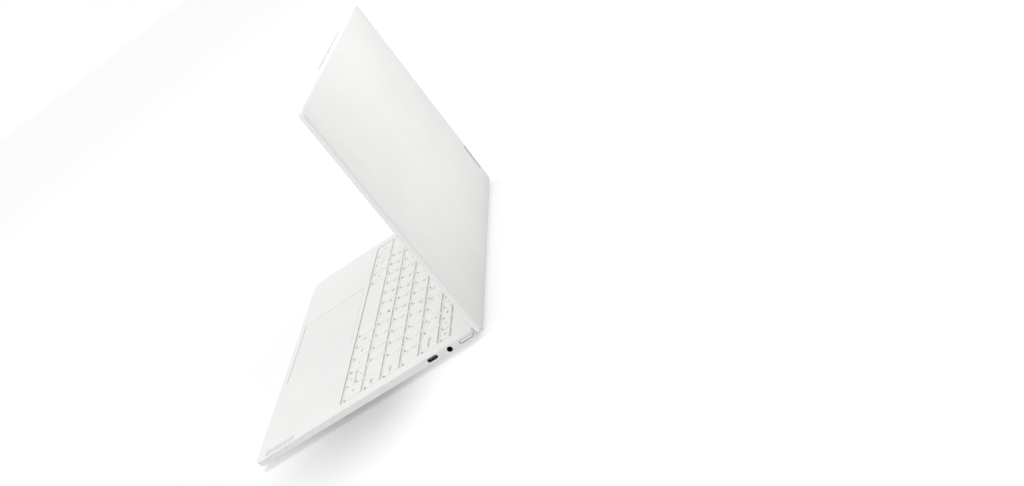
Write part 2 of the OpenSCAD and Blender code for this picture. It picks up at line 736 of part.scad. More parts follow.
module fan_rotor(s) {
    root = 0.5;                              // how deep a blade is rooted in the hub
    shaft_low = fan_low + bore_gap;
    color("#55585d") place() translate([s * fan_x, fan_y, rotor_low]) {
        cylinder(r = hub_r, h = rotor_h);
        translate([0, 0, shaft_low - rotor_low])
            cylinder(r = shaft_r, h = rotor_low - shaft_low + eps);
        for (k = [0:blade_count - 1]) rotate(k * 360 / blade_count)
            block(hub_r - root, rotor_r, -blade_t / 2, blade_t / 2, 0, rotor_h);
    }
}
// Card with its chips, hanging under the mainboard: w across, d front to rear
module card(x, w, d, chips) {
    edge = 3;
    pitch = (w - edge) / chips;
    block(x, x + w, card_y, card_y + d, board_low - card_t, board_low);
    for (k = [0:chips - 1])
        block(x + edge + k * pitch, x + (k + 1) * pitch, card_y + edge, card_y + d - edge,
            board_low - card_t - chip_t, board_low - card_t + eps);
}
module solid_state_drive() {
    drive_l = 80;
    color("#24543a") place() card(card_margin - board_half, drive_l, card_w, 3);
}
module wireless_card() {
    wireless_l = 30;
    color("#2b5d86") place() card(board_half - card_margin - card_w, card_w, wireless_l, 1);
}
module speaker(s) {
    cone_r = 11;
    cone_depth = 0.8;
    top = frame_top - frame_gap;
    color("#2a2b2e") place() side(s) difference() {
        block(speaker_x, speaker_x + speaker_w, cells_y, kb_y - 5, inner_z + floor_gap, top);
        translate([speaker_x + speaker_w / 2, (cells_y + kb_y - 5) / 2, top - cone_depth])
            cylinder(r = cone_r, h = cone_depth + cut);
    }
}
module feet() {
    foot_r = foot_w / 2 - 0.5;
    y_rear = base_d - bottom_inset - 12 - foot_w;
    y_front = bottom_inset + 6;
    color("#8d8f92") place() {
        translate([0, y_rear, 0])
            round_slab(base_w - 2 * foot_rear_side, foot_w, foot_r, 0, foot_h);
        both(base_w / 2 - bottom_inset - 8 - foot_front_l / 2)
            translate([0, y_front, 0]) round_slab(foot_front_l, foot_w, foot_r, 0, foot_h);
    }
}
module bottom_screws() {
    drive_r = screw_head_r / 2;
    drive_depth = 0.35;
    end_gap = 0.2;
    color("silver") place() for (p = screws) translate([p[0], p[1], foot_h + screw_lift]) difference() {
        union() {
            cylinder(r = screw_head_r, h = head_t);
            cylinder(r = screw_r, h = thread_end - end_gap - foot_h - screw_lift);
        }
        translate([0, 0, -eps]) cylinder(r = drive_r, h = drive_depth, $fn = 6);
    }
}

// One socket with its mouth at the right wall: a thin shell, its tongue and its solder block
module usb_socket(y) {
    tongue = [3.3, 0.35];                    // half its width and height
    tongue_recess = 1.2;
    block_half = 2.6;
    block_recess = wall_t + 0.8;
    back_t = 1;
    x0 = socket_x - socket_l;
    color("#9da1a5") {
        difference() {
            along_x(x0, socket_x, y, usb_z) usb_shape(0);
            along_x(x0 + back_t, socket_x + cut, y, usb_z) usb_shape(-usb_t);
        }
        block(x0 + back_t - eps, socket_x - tongue_recess, y - tongue[0], y + tongue[0],
            usb_z - tongue[1], usb_z + tongue[1]);
        block(x0, socket_x - block_recess, y - block_half, y + block_half,
            board_top, usb_z - usb_h / 2 + eps);
    }
}
module usb_c_socket_right() { place() usb_socket(usb_right_y); }
module usb_c_sockets_left() {
    place() mirror([1, 0, 0]) for (k = [0, 1]) usb_socket(usb_left_y + k * usb_left_pitch);
}
module audio_jack() {
    back_t = 1;
    body_recess = wall_t + 0.5;
    x0 = socket_x - socket_l;
    color("#26272a") place() difference() {
        union() {
            along_x(x0, socket_x, jack_y, jack_z) circle(jack_r);
            block(x0 - back_t, socket_x - body_recess, jack_y - jack_r, jack_y + jack_r,
                jack_z - jack_r, jack_z + jack_r);
        }
        along_x(x0 + back_t, socket_x + cut, jack_y, jack_z) circle(jack_bore_r);
    }
}
module power_button() {
    color("#dededc") place() {
        // The face follows the wall round the corner
        intersection() {
            along_x(button_back, button_face, button_y, button_z) pill(button_l, button_h);
            plan(base_w / 2 - button_face, 0, deck_z);
        }
        along_x(button_tip, button_back + eps, button_y, button_z) circle(button_stem_r);
    }
}
module status_light() {
    light_l = 3.9;
    light_face = base_w / 2 - 0.1;
    color("white") place() mirror([1, 0, 0])
        along_x(light_face - light_l, light_face, light_y, usb_z) circle(light_r);
}
module palm_name_plate() {
    color("#d5d6d6") place()
        block(palm_plate_x + mark_gap, palm_plate_x + palm_plate_w - mark_gap,
            palm_plate_y + mark_gap, palm_plate_y + palm_plate_l - mark_gap,
            deck_z - plate_mark_t, deck_z);
}

// Lid pieces, drawn in the lid's own frame
module lid_slab(inset, z0, z1) {
    translate([0, lid_low + inset, 0]) round_slab(base_w - 2 * inset, lid_len - 2 * inset,
        max(lid_corner_r - inset, 1), z0, z1);
}
module lid_lip(z0, z1) {
    translate([0, lid_high - lid_edge_r, z0]) linear_extrude(z1 - z0)
        polygon([[-lip_l / 2, 0], [lip_l / 2, 0], [lip_l / 2, lid_edge_r],
            [lip_l / 2 - lip_run, lid_edge_r + lip_h], [lip_run - lip_l / 2, lid_edge_r + lip_h],
            [-lip_l / 2, lid_edge_r]]);
}
module hinge_arm_notch() {
    both(hinge_x) block(-slot_w / 2, slot_w / 2, -arm_half - pocket_fit, arm_half + slot_gap,
        lid_out, lid_in + cut);
}
module lid_cover() {
    steps = [0, 22.5, 45, 67.5, 90];
    color(white) on_lid() difference() {
        union() {
            hull() {
                lid_slab(0, lid_out + lid_edge_r, lid_in);
                for (a = steps) lid_slab(lid_edge_r * (1 - cos(a)),
                    lid_out + lid_edge_r * (1 - sin(a)), lid_out + lid_edge_r);
            }
            lid_lip(lid_in - lip_t, lid_in);
        }
        lid_slab(lid_rim_w, pocket_floor, lid_in + cut);
        block(lid_plate_x, lid_plate_x + lid_plate_w, lid_plate_y, lid_plate_y + lid_plate_l,
            lid_out - cut, lid_out + plate_mark_t);
    }
}
module display_panel() {
    w = screen_w + 2 * panel_margin;
    color("#15171a") on_lid() block(-w / 2, w / 2, screen_y - panel_border,
        screen_y + screen_h + panel_margin, pocket_floor, panel_top);
}
module display_bezel() {
    color("#1b1c1f") on_lid() difference() {
        lid_slab(lid_rim_w + pocket_fit, panel_top, bezel_top);
        block(-screen_w / 2, screen_w / 2, screen_y, screen_y + screen_h, panel_top - cut, bezel_top + cut);
        translate([0, lens_y, panel_top - cut]) cylinder(r = lens_r + bore_gap, h = bezel_t + 2 * cut);
        hinge_arm_notch();
    }
}
module bezel_seal() {
    inset = lid_rim_w + pocket_fit;
    color("#222326") on_lid() difference() {
        lid_slab(inset, bezel_top, lid_in);
        lid_slab(inset + seal_w, bezel_top - cut, lid_in + cut);
        hinge_arm_notch();
    }
}
module camera_module() {
    color("#2f3135") on_lid() block(-camera_l / 2, camera_l / 2,
        screen_y + screen_h + panel_margin + pocket_fit, lid_high - lid_rim_w - pocket_fit,
        pocket_floor, panel_top);
}
module camera_lens() {
    lens_recess = 0.1;
    color("#101114") on_lid() translate([0, lens_y, panel_top])
        cylinder(r = lens_r, h = bezel_t - lens_recess);
}
module lid_name_plate() {
    color("#d5d6d6") on_lid() block(lid_plate_x + mark_gap, lid_plate_x + lid_plate_w - mark_gap,
        lid_plate_y + mark_gap, lid_plate_y + lid_plate_l - mark_gap, lid_out, lid_out + plate_mark_t);
}
module hinge_leaf(s) {
    color("#8f9498") on_lid() side(s) translate([hinge_x, 0, 0]) difference() {
        union() {
            block(-leaf_w / 2, leaf_w / 2, -arm_half, leaf_high, pocket_floor, pocket_floor + leaf_t);
            block(-knuckle_w / 2, knuckle_w / 2, -arm_half, arm_half, pocket_floor, 0);
            along_x(-knuckle_w / 2, knuckle_w / 2, 0, 0) circle(ear_r);
        }
        along_x(-knuckle_w, knuckle_w, 0, 0) circle(pin_r + pin_fit);
    }
}
module hinge_pin(s) {
    pin_inset = 0.2;
    l = bracket_w - 2 * pin_inset;
    color("#d0d3d6") place() side(s) translate([hinge_x, 0, 0])
        along_x(-l / 2, l / 2, hinge_y, hinge_z) circle(pin_r);
}
module hinge_bracket(s) {
    y0 = well_y + well_d + tray_margin + 0.6;
    ear_x = knuckle_w / 2 + knuckle_gap;
    press_gap = 0.02;
    color("#8f9498") place() side(s) translate([hinge_x, 0, 0]) difference() {
        union() {
            block(-bracket_w / 2, bracket_w / 2, y0, hinge_y - ear_r - slot_gap,
                deck_under - leaf_t, deck_under);
            for (m = [-ear_x - ear_t, ear_x]) {
                block(m, m + ear_t, y0, hinge_y, deck_under - leaf_t, deck_under);
                block(m, m + ear_t, hinge_y - 2 * ear_r, hinge_y, hinge_z - pin_r, deck_under);
                along_x(m, m + ear_t, hinge_y, hinge_z) circle(ear_r);
            }
        }
        along_x(-bracket_w, bracket_w, hinge_y, hinge_z) circle(pin_r + press_gap);
    }
}

lid_cover();
display_bezel();
display_panel();
bezel_seal();
camera_module();
camera_lens();
lid_name_plate();
hinge_leaf(-1);  // hinge_leaf_left
hinge_leaf(1);  // hinge_leaf_right
hinge_pin(-1);  // hinge_pin_left
hinge_pin(1);  // hinge_pin_right
hinge_bracket(-1);  // hinge_bracket_left
hinge_bracket(1);  // hinge_bracket_right
keyboard_deck();
bottom_cover();
keyboard_plate();
touchpad();
touchpad_frame();
battery();
mainboard();
heat_pipe();
fan_housing(-1);  // fan_housing_left
fan_housing(1);  // fan_housing_right
fan_rotor(-1);  // fan_rotor_left
fan_rotor(1);  // fan_rotor_right
solid_state_drive();
wireless_card();
speaker(-1);  // speaker_left
speaker(1);  // speaker_right
feet();
bottom_screws();
usb_c_socket_right();
usb_c_sockets_left();
audio_jack();
power_button();
status_light();
palm_name_plate();
keys(5, 0, 15);  // keys_function_row
keys(4, 0, 12);  // keys_number_row
one_key(4, 13);  // key_backspace
one_key(3, 0);  // key_tab
keys(3, 1, 13);  // keys_upper_letters
one_key(2, 0);  // key_caps_lock
keys(2, 1, 11);  // keys_home_letters
one_key(2, 12);  // key_enter
one_key(1, 0);  // key_shift_left
keys(1, 1, 10);  // keys_lower_letters
one_key(1, 11);  // key_shift_right
one_key(0, 0);  // key_control_left
one_key(0, 1);  // key_function
one_key(0, 2);  // key_bare
one_key(0, 3);  // key_alt_left
one_key(0, space_index);  // key_space
one_key(0, 5);  // key_alt_right
one_key(0, 6);  // key_control_right
one_key(0, arrow_first);  // key_arrow_left
one_key(0, arrow_first + 1, 2);  // key_arrow_up
one_key(0, arrow_first + 1, 1);  // key_arrow_down
one_key(0, arrow_first + 2);  // key_arrow_right
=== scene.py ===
"""Looks of the slim white laptop computer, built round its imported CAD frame.

Every measure is in millimetres until it is put into a mesh; the frame is in metres.
X runs across the laptop, Y from the front edge to the rear, Z up from the table.
"""

import json
import logging
import math
from dataclasses import dataclass, field
from enum import Enum
from typing import Any, Dict, List, Optional, Sequence, Tuple, Union

import bmesh
import bpy
import numpy as np
from mathutils import Matrix

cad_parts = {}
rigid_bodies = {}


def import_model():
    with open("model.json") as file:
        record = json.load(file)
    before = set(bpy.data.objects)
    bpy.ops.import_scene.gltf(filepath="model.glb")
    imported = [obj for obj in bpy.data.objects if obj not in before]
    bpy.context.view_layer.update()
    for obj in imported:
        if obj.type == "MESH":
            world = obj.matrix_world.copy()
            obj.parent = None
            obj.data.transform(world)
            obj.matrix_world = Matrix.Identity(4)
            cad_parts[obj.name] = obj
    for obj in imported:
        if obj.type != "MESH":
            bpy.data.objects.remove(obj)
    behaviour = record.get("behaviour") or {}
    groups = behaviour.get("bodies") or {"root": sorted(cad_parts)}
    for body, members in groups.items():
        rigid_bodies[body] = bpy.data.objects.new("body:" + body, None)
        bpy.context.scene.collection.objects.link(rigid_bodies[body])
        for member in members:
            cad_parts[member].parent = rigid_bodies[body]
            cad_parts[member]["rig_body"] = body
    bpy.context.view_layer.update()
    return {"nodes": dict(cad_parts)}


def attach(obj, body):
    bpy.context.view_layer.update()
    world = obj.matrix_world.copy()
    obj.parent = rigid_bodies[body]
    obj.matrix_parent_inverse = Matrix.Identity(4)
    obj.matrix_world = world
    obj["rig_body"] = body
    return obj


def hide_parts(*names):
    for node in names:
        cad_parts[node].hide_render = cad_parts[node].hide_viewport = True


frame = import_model()

MM = 0.001
ORIGIN_Y = 104.6                # the row's origin lies this far behind the front edge
LID_FOOT = 3.0                  # height of the open lid's lower edge
SHARP = math.radians(35)        # edges that turn by more than this stay crisp
FLAT = math.radians(0.6)        # neighbouring faces that turn by less become one
MERGE = 2e-6                    # corners of a CAD solid closer than this are one, in metres
ARROWS = {"^": 90, "<": 180, "v": 270, ">": 0}      # sign of each arrow, and its direction
log = logging.getLogger("laptop")

Colour = Tuple[float, float, float]
Vec = Tuple[float, float, float]
Number = Union[float, "Field"]


# ---------------------------------------------------------------- shader maths

class Field:
    """One shader output that takes part in Python arithmetic: each operator adds a Math node."""

    def __init__(self, recipe: "Recipe", socket: Any) -> None:
        """Keeps the recipe that owns the node tree, and the output socket."""
        self.recipe = recipe
        self.socket = socket

    def __add__(self, other: Number) -> "Field":
        """self + other."""
        return self.recipe.math("ADD", self, other)

    def __sub__(self, other: Number) -> "Field":
        """self - other."""
        return self.recipe.math("SUBTRACT", self, other)

    def __rsub__(self, other: Number) -> "Field":
        """other - self."""
        return self.recipe.math("SUBTRACT", other, self)

    def __mul__(self, other: Number) -> "Field":
        """self * other."""
        return self.recipe.math("MULTIPLY", self, other)

    def __rmul__(self, other: Number) -> "Field":
        """other * self."""
        return self.recipe.math("MULTIPLY", other, self)

    def __truediv__(self, other: Number) -> "Field":
        """self / other."""
        return self.recipe.math("DIVIDE", self, other)

    def __abs__(self) -> "Field":
        """Size of self without its sign."""
        return self.recipe.math("ABSOLUTE", self)

    def __lt__(self, other: Number) -> "Field":
        """1 where self is below other, else 0."""
        return self.recipe.math("LESS_THAN", self, other)

    def __gt__(self, other: Number) -> "Field":
        """1 where self is above other, else 0."""
        return self.recipe.math("GREATER_THAN", self, other)

    def rise(self, low: float, high: float, start: float = 0.0, end: float = 1.0) -> "Field":
        """Smooth step of this field.

        Args:
            low: Value at which the step starts.
            high: Value at which it ends.
            start: Result below low.
            end: Result above high.

        Returns:
            The stepped field.
        """
        node = self.recipe.node(
            "ShaderNodeMapRange",
            {"interpolation_type": "SMOOTHSTEP"},
            {"Value": self, "From Min": low, "From Max": high, "To Min": start, "To Max": end},
        )
        return Field(self.recipe, node.outputs["Result"])


class Recipe:
    """Node tree of one material, with a Principled shader that its finish fills in."""

    def __init__(self, name: str) -> None:
        """Starts a material of that name with an empty tree."""
        self.material = bpy.data.materials.new(name)
        self.material.use_nodes = True
        self.tree = self.material.node_tree
        self.tree.nodes.clear()
        self.shader = self.node("ShaderNodeBsdfPrincipled", {}, {})
        self.node("ShaderNodeOutputMaterial", {}, {"Surface": self.shader.outputs["BSDF"]})
        self._place: Optional[Any] = None

    def node(self, kind: str, settings: Dict[str, Any], values: Dict[Any, Any]) -> Any:
        """Adds one node.

        Args:
            kind: Blender's node type.
            settings: Node properties, set first.
            values: Numbers, colours, Fields or sockets for its inputs, by name or index.

        Returns:
            The node.
        """
        made = self.tree.nodes.new(kind)
        for key, value in settings.items():
            setattr(made, key, value)
        for key, value in values.items():
            socket = made.inputs[key]
            if isinstance(value, Field):
                self.tree.links.new(value.socket, socket)
            elif isinstance(value, bpy.types.NodeSocket):
                self.tree.links.new(value, socket)
            elif isinstance(value, tuple) and len(value) == 3 and len(socket.default_value) == 4:
                socket.default_value = (*value, 1.0)
            else:
                socket.default_value = value
        return made

    def math(self, operation: str, *terms: Number) -> Field:
        """Adds a Math node on numbers and Fields, and returns its result."""
        node = self.node("ShaderNodeMath", {"operation": operation}, dict(enumerate(terms)))
        return Field(self, node.outputs[0])

    def place(self) -> Any:
        """Object coordinates in metres, as a socket."""
        if self._place is None:
            self._place = self.node("ShaderNodeTexCoord", {}, {}).outputs["Object"]
        return self._place

    def axes(self) -> Tuple[Field, Field, Field]:
        """Object coordinates in millimetres, as three Fields."""
        split = self.node("ShaderNodeSeparateXYZ", {}, {"Vector": self.place()})
        x, y, z = (Field(self, split.outputs[i]) / MM for i in range(3))
        return x, y, z

    def stretched(self, stretch: Vec) -> Any:
        """Object coordinates multiplied by stretch, as a socket."""
        node = self.node(
            "ShaderNodeVectorMath", {"operation": "MULTIPLY"}, {0: self.place(), 1: stretch}
        )
        return node.outputs["Vector"]

    def noise(self, size: float, detail: float = 2.0, stretch: Vec = (1.0, 1.0, 1.0)) -> Field:
        """Cloud noise.

        Args:
            size: Size of a cloud in millimetres.
            detail: Number of finer layers.
            stretch: Factor on each axis; a small one draws the clouds out along that axis.

        Returns:
            A Field round 0.5.
        """
        node = self.node(
            "ShaderNodeTexNoise",
            {},
            {"Vector": self.stretched(stretch), "Scale": 1 / (size * MM), "Detail": detail},
        )
        return Field(self, node.outputs["Fac"])

    def cells(self, size: float, feature: str = "F1") -> Field:
        """Cell noise: distance to the nearest of scattered points about size millimetres apart."""
        node = self.node(
            "ShaderNodeTexVoronoi",
            {"feature": feature},
            {"Vector": self.place(), "Scale": 1 / (size * MM)},
        )
        return Field(self, node.outputs["Distance"])

    def mix(self, factor: Number, low: Any, high: Any) -> Any:
        """Colour that goes from low to high with factor, as a socket."""
        node = self.node(
            "ShaderNodeMix", {"data_type": "RGBA"}, {"Factor": factor, 6: low, 7: high}
        )
        return node.outputs[2]

    def relief(self, height: Field, depth: float, strength: float) -> Any:
        """Bump normal.

        Args:
            height: Relief from 0 to 1.
            depth: Depth of the relief in millimetres.
            strength: Share of the relief that is used.

        Returns:
            The normal socket.
        """
        node = self.node(
            "ShaderNodeBump", {}, {"Height": height, "Distance": depth * MM, "Strength": strength}
        )
        return node.outputs["Normal"]

    def finish(self, **inputs: Any) -> bpy.types.Material:
        """Fills the shader's sockets, named with underscores for spaces, and returns the material."""
        for key, value in inputs.items():
            socket = self.shader.inputs[key.replace("_", " ")]
            if isinstance(value, Field):
                self.tree.links.new(value.socket, socket)
            elif isinstance(value, bpy.types.NodeSocket):
                self.tree.links.new(value, socket)
            elif isinstance(value, tuple):
                socket.default_value = (*value, 1.0)
            else:
                socket.default_value = value
        return self.material


# -------------------------------------------------------------------- finishes

@dataclass(frozen=True)
class Lacquer:
    """Soft white lacquer on metal: faint clouds in the tone, a fine orange-peel relief."""

    name: str
    colour: Colour = (0.86, 0.86, 0.85)
    roughness: float = 0.42

    def tone(self, recipe: Recipe) -> Any:
        """Base colour with clouds that are a per cent or two darker."""
        clouds = recipe.noise(38, 3).rise(0.3, 0.7)
        shade = tuple(0.975 * c for c in self.colour)
        return recipe.mix(clouds, self.colour, shade)

    def make(self) -> bpy.types.Material:
        """Builds the material."""
        recipe = Recipe(self.name)
        peel = recipe.noise(0.55, 2) * 0.7 + recipe.noise(3.5, 1) * 0.3
        return recipe.finish(
            Base_Color=self.tone(recipe),
            Roughness=recipe.noise(9, 3) * 0.08 + (self.roughness - 0.04),
            Normal=recipe.relief(peel, 0.012, 0.5),
        )


@dataclass(frozen=True)
class LidLacquer(Lacquer):
    """Lacquer of the lid, with painted shade: a tone darker on its narrow sides, and darker still on
    its top edge, which the light from above would turn white.
    """

    # painted shade: a darker tone on the narrow sides, and a darker one still on the top edge
    edge: Colour = (0.83, 0.83, 0.82)
    top: Colour = (0.67, 0.67, 0.66)
    half_width: float = 147.4
    height: float = 208.7

    def tone(self, recipe: Recipe) -> Any:
        """Lacquer tone on the broad faces and the painted shade on the edges."""
        x, _, z = recipe.axes()
        sides = recipe.mix(abs(x) > self.half_width, super().tone(recipe), self.edge)
        return recipe.mix(z > self.height, sides, self.top)


@dataclass(frozen=True)
class DeckLacquer(Lacquer):
    """Lacquer of the deck, with painted shade: a shade darker on its walls, and darker and warmer in
    the recess of the keys.
    """

    # painted shade on the side walls of the deck
    wall: Colour = (0.77, 0.77, 0.76)
    wall_x: float = 147.4
    # painted shade, darker and warmer, in the recess between the key caps
    recess: Colour = (0.76, 0.74, 0.69)
    half_width: float = 136.4
    front: float = 79.9 - ORIGIN_Y
    rear: float = 184.9 - ORIGIN_Y
    level: float = 9.0

    def tone(self, recipe: Recipe) -> Any:
        """Lacquer tone outside the recess with the painted shade on the walls, and the warm painted
        shade in the recess.
        """
        x, y, z = recipe.axes()
        inside = (abs(x) < self.half_width) * (y > self.front) * (y < self.rear)
        inside = inside * z.rise(self.level - 0.2, self.level + 0.1, 1.0, 0.0)
        # warm painted shade for the recess, standing in for the shade between the caps
        warm = recipe.mix(
            recipe.noise(6, 2), self.recess, tuple(1.12 * c for c in self.recess)
        )
        # painted shade on the walls, outside the lacquer of the top
        outer = recipe.mix(abs(x) > self.wall_x, super().tone(recipe), self.wall)
        return recipe.mix(inside, outer, warm)


@dataclass(frozen=True)
class FinePlastic:
    """Moulded plastic with a spark-eroded grain and slightly uneven gloss."""

    name: str
    colour: Colour
    roughness: float = 0.5
    grain: float = 0.35
    depth: float = 0.02
    coat: float = 0.0
    tint: float = 0.95

    def tone(self, recipe: Recipe) -> Any:
        """Base colour with faint clouds in it."""
        shade = tuple(self.tint * c for c in self.colour)
        return recipe.mix(recipe.noise(14, 3).rise(0.3, 0.7), self.colour, shade)

    def make(self) -> bpy.types.Material:
        """Builds the material."""
        recipe = Recipe(self.name)
        grain = recipe.cells(self.grain) * 0.6 + recipe.noise(self.grain * 2, 2) * 0.4
        return recipe.finish(
            Base_Color=self.tone(recipe),
            Roughness=recipe.noise(5, 3) * 0.12 + (self.roughness - 0.06),
            Normal=recipe.relief(grain, self.depth, 0.5),
            Coat_Weight=self.coat,
        )


@dataclass(frozen=True)
class CapPlastic(FinePlastic):
    """Plastic of the key caps, with a darker, warmer painted shade on the skirt that fills the
    opening round each cap.
    """

    # painted shade on the skirt, down in the gap round each cap
    skirt: Colour = (0.84, 0.815, 0.77)
    level: float = 8.66

    def tone(self, recipe: Recipe) -> Any:
        """Plastic tone on the cap and the warm painted shade on its skirt."""
        _, _, z = recipe.axes()
        return recipe.mix(z < self.level, super().tone(recipe), self.skirt)


@dataclass(frozen=True)
class BrushedMetal:
    """Metal brushed along one axis, or satin where all axes are alike."""

    name: str
    colour: Colour
    roughness: float = 0.32
    stretch: Vec = (0.04, 1.0, 1.0)
    depth: float = 0.01

    def make(self) -> bpy.types.Material:
        """Builds the material."""
        recipe = Recipe(self.name)
        lines = recipe.noise(0.25, 3, self.stretch)
        shade = tuple(0.82 * c for c in self.colour)
        return recipe.finish(
            Base_Color=recipe.mix(lines, shade, self.colour),
            Metallic=1.0,
            Roughness=lines * 0.16 + recipe.noise(7, 2) * 0.08 + (self.roughness - 0.12),
            Normal=recipe.relief(lines, self.depth, 0.4),
        )


@dataclass(frozen=True)
class Rubber:
    """Matt rubber with a pebbled grain."""

    name: str
    colour: Colour

    def make(self) -> bpy.types.Material:
        """Builds the material."""
        recipe = Recipe(self.name)
        pebbles = recipe.cells(0.7, "SMOOTH_F1")
        shade = tuple(0.8 * c for c in self.colour)
        return recipe.finish(
            Base_Color=recipe.mix(recipe.noise(4, 3), shade, self.colour),
            Roughness=recipe.noise(3, 2) * 0.1 + 0.78,
            Normal=recipe.relief(pebbles, 0.06, 0.6),
            Specular_IOR_Level=0.3,
        )


@dataclass(frozen=True)
class DarkGlass:
    """Black glass over a dark display: a slightly lighter picture area and faint wipe marks."""

    name: str
    colour: Colour = (0.006, 0.006, 0.007)
    picture: Colour = (0.013, 0.014, 0.016)
    half_width: float = 143.2
    low: float = LID_FOOT + 13.0
    high: float = LID_FOOT + 13.0 + 179.0
    border: float = 1.5
    roughness: float = 0.09

    def make(self) -> bpy.types.Material:
        """Builds the material."""
        recipe = Recipe(self.name)
        x, _, z = recipe.axes()
        picture = abs(x) < self.half_width - self.border
        picture = picture * (z > self.low + self.border) * (z < self.high - self.border)
        wiped = recipe.noise(22, 4, (0.5, 1.0, 1.3)).rise(0.45, 0.8)
        return recipe.finish(
            Base_Color=recipe.mix(picture, self.colour, self.picture),
            Roughness=wiped * 0.07 + self.roughness,
            Normal=recipe.relief(recipe.noise(60, 1), 0.02, 0.2),
            Coat_Weight=0.5,
            Coat_Roughness=0.04,
        )


@dataclass(frozen=True)
class CircuitBoard:
    """Solder mask with copper tracks under it, round pads, and a relief of the tracks and pads."""

    name: str
    colour: Colour = (0.018, 0.11, 0.05)

    def make(self) -> bpy.types.Material:
        """Builds the material."""
        recipe = Recipe(self.name)
        tracks = recipe.node(
            "ShaderNodeTexBrick",
            {"offset": 0.35, "squash": 1.0},
            {"Vector": recipe.place(), "Scale": 160.0, "Mortar Size": 0.06, "Brick Width": 0.9,
             "Row Height": 0.22},
        )
        lines = Field(recipe, tracks.outputs["Fac"])
        pads = recipe.cells(3.2).rise(0.12, 0.17, 1.0, 0.0)
        lit = tuple(1.9 * c for c in self.colour)
        masked = recipe.mix(lines, self.colour, lit)
        return recipe.finish(
            Base_Color=recipe.mix(pads, masked, (0.6, 0.52, 0.33)),
            Metallic=pads * 0.9,
            Roughness=0.42 - pads * 0.14,
            Normal=recipe.relief(lines * 0.5 + pads, 0.05, 0.6),
        )


@dataclass(frozen=True)
class BatteryWrap:
    """Dark film round the cells, with soft wrinkles and a lighter printed band."""

    name: str
    colour: Colour = (0.022, 0.023, 0.026)

    def make(self) -> bpy.types.Material:
        """Builds the material."""
        recipe = Recipe(self.name)
        _, y, _ = recipe.axes()
        band = (y > 25.0 - ORIGIN_Y) * (y < 27.0 - ORIGIN_Y)
        return recipe.finish(
            Base_Color=recipe.mix(band, self.colour, (0.2, 0.2, 0.21)),
            Roughness=recipe.noise(6, 3) * 0.2 + 0.35,
            Normal=recipe.relief(recipe.noise(9, 3, (1.0, 0.3, 1.0)), 0.15, 0.5),
        )


@dataclass(frozen=True)
class SpeakerCloth:
    """Black moulding with a field of round perforations."""

    name: str
    colour: Colour = (0.02, 0.02, 0.022)

    def make(self) -> bpy.types.Material:
        """Builds the material."""
        recipe = Recipe(self.name)
        holes = recipe.cells(1.1).rise(0.25, 0.35)
        return recipe.finish(
            Base_Color=recipe.mix(holes, (0.004, 0.004, 0.004), self.colour),
            Roughness=recipe.noise(2, 2) * 0.1 + 0.6,
            Normal=recipe.relief(holes, 0.15, 0.7),
        )


class Finishes:
    """Makes each finish once and hands it out by the record's slot name."""

    def __init__(self) -> None:
        """Lists what each slot is made of."""
        self.recipes: Dict[str, Any] = {
            "white_shell": Lacquer("white_lacquer"),
            "lid": LidLacquer("lid_lacquer"),
            "deck": DeckLacquer("deck_lacquer", (0.9, 0.9, 0.89)),
            "key_white": CapPlastic(
                "key_cap_plastic", (0.9, 0.9, 0.885), 0.46, 0.3, 0.01, tint=0.98
            ),
            "legend": FinePlastic("key_print", (0.3, 0.3, 0.305), 0.6, 0.3, 0.004),
            "pad_white": FinePlastic(
                "touchpad_face", (0.88, 0.88, 0.87), 0.34, 0.25, 0.006, tint=0.98
            ),
            "bezel_black": FinePlastic("bezel_gloss", (0.012, 0.012, 0.013), 0.22, 0.6, 0.006, 0.4),
            "screen_black": DarkGlass("display_glass"),
            "seal_rubber": Rubber("seal_rubber", (0.025, 0.025, 0.027)),
            "lens_glass": FinePlastic("lens_glass", (0.01, 0.01, 0.016), 0.08, 0.8, 0.002, 1.0),
            "plate_satin": BrushedMetal("satin_plate", (0.68, 0.68, 0.675), 0.4, (1.0, 0.05, 0.05)),
            "hinge_steel": BrushedMetal("hinge_steel", (0.42, 0.43, 0.44), 0.38),
            "pin_steel": BrushedMetal("pin_steel", (0.6, 0.61, 0.62), 0.26),
            "plate_metal": BrushedMetal("sheet_metal", (0.55, 0.56, 0.57), 0.42, (0.1, 1.0, 1.0)),
            "battery_black": BatteryWrap("battery_film"),
            "speaker": SpeakerCloth("speaker_cloth"),
            "board_green": CircuitBoard("circuit_board"),
            "card_blue": CircuitBoard("card_board", (0.012, 0.05, 0.12)),
            "pipe_copper": BrushedMetal("copper", (0.78, 0.42, 0.24), 0.34, (0.06, 1.0, 1.0)),
            "fan_black": FinePlastic("fan_plastic", (0.035, 0.036, 0.04), 0.55, 0.5, 0.04),
            "foot_rubber": Rubber("foot_rubber", (0.17, 0.172, 0.175)),
            "screw_steel": BrushedMetal("screw_steel", (0.5, 0.51, 0.52), 0.3, (0.4, 0.4, 1.0)),
            "port_metal": BrushedMetal("port_metal", (0.2, 0.2, 0.21), 0.4, (1.0, 0.1, 1.0)),
            "jack_black": FinePlastic("jack_plastic", (0.008, 0.008, 0.009), 0.3, 0.4, 0.01, 0.2),
            "button_white": FinePlastic(
                "button_plastic", (0.8, 0.8, 0.79), 0.4, 0.3, 0.01, tint=0.97
            ),
            "light_pipe": FinePlastic("light_pipe", (0.72, 0.76, 0.75), 0.25, 0.5, 0.004, 0.6),
        }
        self.made: Dict[str, bpy.types.Material] = {}

    def get(self, slot: str) -> bpy.types.Material:
        """The material for a slot, made on first use."""
        if slot not in self.made:
            self.made[slot] = self.recipes[slot].make()
        return self.made[slot]


# ---------------------------------------------------------------- mesh making

